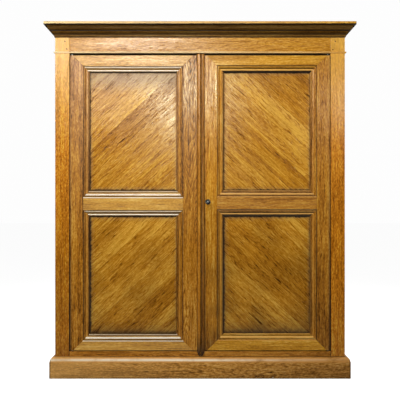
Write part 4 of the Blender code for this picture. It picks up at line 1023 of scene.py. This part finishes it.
# Screws of the lock and nails of the escutcheon
# Four slotted iron screws hold the lock case to the back of the right door, each stopped at its own turn. Two
# round nails hold the escutcheon on the front.
SCREW_RADIUS = 0.0042
SCREW_PROUD = 0.0012
SCREW_SLIT = (2.6 * SCREW_RADIUS, 2.0 * SCREW_PROUD, 0.0011)
SCREW_INSET = 0.009
SCREW_SMOOTH = math.radians(40)
SCREW_TURNS = (70.0, 25.0, 125.0)
case_low, case_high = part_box("lock_case")
screw_places = [
    Vector((x, case_high.y, z))
    for x in (case_low.x + SCREW_INSET, case_high.x - SCREW_INSET)
    for z in (case_low.z + SCREW_INSET, case_high.z - SCREW_INSET)
]
bpy.ops.object.select_all(action="DESELECT")
bpy.ops.mesh.primitive_cylinder_add(
    vertices=24, radius=SCREW_RADIUS, depth=SCREW_RADIUS, rotation=(math.radians(-90), 0.0, 0.0),
    location=screw_places[0] + Vector((0.0, SCREW_PROUD - SCREW_RADIUS / 2, 0.0)),
)
lock_screws = bpy.context.object
lock_screws.name = lock_screws.data.name = "lock_case_screws"
bpy.ops.object.transform_apply(location=True, rotation=True, scale=True)
bpy.ops.object.mode_set(mode="EDIT")
bpy.ops.mesh.select_mode(type="FACE")
bpy.ops.mesh.select_all(action="DESELECT")
screw_shape = bmesh.from_edit_mesh(lock_screws.data)
for face in screw_shape.faces:
    face.select_set(face.normal.y > 0.9)
bmesh.update_edit_mesh(lock_screws.data)
bpy.ops.mesh.bevel(offset=SCREW_RADIUS * 0.16, segments=2)
bpy.ops.object.mode_set(mode="OBJECT")
bpy.ops.object.select_all(action="DESELECT")
bpy.ops.mesh.primitive_cube_add(size=1.0, location=screw_places[0] + Vector((0.0, SCREW_PROUD, 0.0)))
slit = bpy.context.object
slit.scale = SCREW_SLIT
cut = lock_screws.modifiers.new("slit", "BOOLEAN")
cut.operation = "DIFFERENCE"
cut.object = slit
select_only(lock_screws)
bpy.ops.object.modifier_apply(modifier=cut.name)
bpy.data.objects.remove(slit)
bpy.ops.object.shade_smooth_by_angle(angle=SCREW_SMOOTH)
repeat(lock_screws, screw_places, SCREW_TURNS)
lock_screws.data.materials.append(iron)
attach(lock_screws, "right_door")
NAIL_REACH = 0.0118
NAIL_RADIUS = 0.0014
NAIL_PROUD = 0.0008
rose_low, rose_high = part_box("escutcheon")
rose_x, rose_z = (rose_low.x + rose_high.x) / 2, (rose_low.z + rose_high.z) / 2
nail_places = [(rose_x + across, rose_low.y, rose_z) for across in (-NAIL_REACH, NAIL_REACH)]
studs(
    "escutcheon_nails", nail_places, (0.0, -1.0, 0.0), NAIL_RADIUS, NAIL_PROUD, iron, "right_door"
)

# Studio
# A pale paper floor without end, a bright lamp high on the left, a window behind the camera, weaker lamps at
# both sides, and a plain white surround that shines less towards the front.
bpy.ops.mesh.primitive_plane_add(size=60.0, location=(0.0, 0.0, 0.0))
floor = bpy.context.object
floor.name = "studio_floor"
# Paper that shows white to the eye and lights the cabinet only a little
paper = bpy.data.materials.new("studio_paper")
paper.use_nodes = True
paper_tree = paper.node_tree
rays = add_node(paper_tree, "LightPath").outputs
lit_paper = by_place(paper, "Y", -1.2, 0.4, 0.1)
mirrored = add_node(paper_tree, "Math", {0: rays["Is Glossy Ray"], 1: lit_paper}, operation="MULTIPLY")
seen = add_node(paper_tree, "Math", {0: rays["Is Camera Ray"], 1: mirrored}, operation="MAXIMUM")
seen = add_node(paper_tree, "Math", {0: seen, 1: rays["Is Transmission Ray"]}, operation="MAXIMUM")
feed(
    paper_tree.nodes["Principled BSDF"],
    {"Base Color": linear("#aaaaaa"), "Roughness": 0.9, "Specular IOR Level": 0.0,
     "Emission Color": linear("#f9f9f9"), "Emission Strength": seen},
)
dress(floor, paper)

world = bpy.data.worlds.new("studio_surround")
bpy.context.scene.world = world
world.use_nodes = True
surround = world.node_tree
rays = add_node(surround, "LightPath").outputs
way = add_node(surround, "TexCoord").outputs["Generated"]
way = add_node(surround, "SeparateXYZ", {"Vector": way}).outputs["Y"]
room = add_node(
    surround, "MapRange",
    {"Value": way, "From Min": -0.7, "From Max": 0.1, "To Min": 0.10, "To Max": 0.985},
)
mirrored = add_node(surround, "Math", {0: rays["Is Glossy Ray"], 1: room}, operation="MULTIPLY")
shown = add_node(
    surround, "Math", {0: rays["Is Camera Ray"], 1: rays["Is Transmission Ray"]}, operation="MAXIMUM"
)
shown = add_node(surround, "MapRange", {"Value": shown, "To Min": 0.05, "To Max": 0.985})
strength = add_node(surround, "Math", {0: shown, 1: mirrored}, operation="MAXIMUM")
feed(surround.nodes["Background"], {"Color": linear("#ffffff"), "Strength": strength})

# Where each lamp hangs, what it points at, its width and height, its power in watts and its colour. The
# window looks out on leaves: its light is a little green, which turns the shine on the oak yellow.
LAMPS = {
    "key_softbox": ((-0.55, -2.2, 2.62), (-0.2, -0.2, 1.3), (0.8, 0.38), 35.5, "#fffffd"),
    "window_softbox": ((-0.24, -6.2, 2.76), (0.0, -0.2, 1.1), (0.62, 0.35), 82.0, "#f0fee6"),
    "left_softbox": ((-1.3, -2.2, 2.45), (-0.5, -0.2, 1.5), (0.5, 0.5), 10.0, "#fffffd"),
    "low_left_softbox": ((-0.86, -2.2, 2.06), (-0.6, -0.2, 1.6), (0.34, 0.34), 2.6, "#fff8e8"),
    "right_softbox": ((1.3, -1.7, 1.9), (0.9, -0.2, 1.0), (0.4, 0.4), 6.4, "#fff6e4"),
    "left_side_softbox": ((-3.4, 1.4, 2.2), (-0.9, 0.2, 1.1), (1.5, 1.5), 70.0, "#ffffff"),
    "right_side_softbox": ((3.4, 1.4, 2.2), (0.9, 0.2, 1.1), (1.5, 1.5), 70.0, "#ffffff"),
}
for lamp_name, (spot, target, (wide, high), watts, tint) in LAMPS.items():
    bpy.ops.object.light_add(type="AREA", location=spot)
    lamp = bpy.context.object
    lamp.name = lamp_name
    lamp.rotation_euler = (Vector(target) - Vector(spot)).to_track_quat("-Z", "Y").to_euler()
    lamp.data.shape = "RECTANGLE"
    lamp.data.size = wide
    lamp.data.size_y = high
    lamp.data.energy = watts
    lamp.data.color = linear(tint)[:3]

# Camera
# It looks level and square on to the front, from half the cabinet's height and 4.44 m before the cornice.
# Its lens is long, so the sides stay hidden.
CAMERA_PLACE = (0.0, -4.72, 1.103)
LENS_MM = 65.2
SENSOR_MM = 36.0
bpy.ops.object.camera_add(location=CAMERA_PLACE, rotation=(math.radians(90), 0.0, 0.0))
camera = bpy.context.object
camera.data.lens = LENS_MM
camera.data.sensor_width = SENSOR_MM
bpy.context.scene.camera = camera
bpy.context.scene.view_settings.view_transform = "Standard"
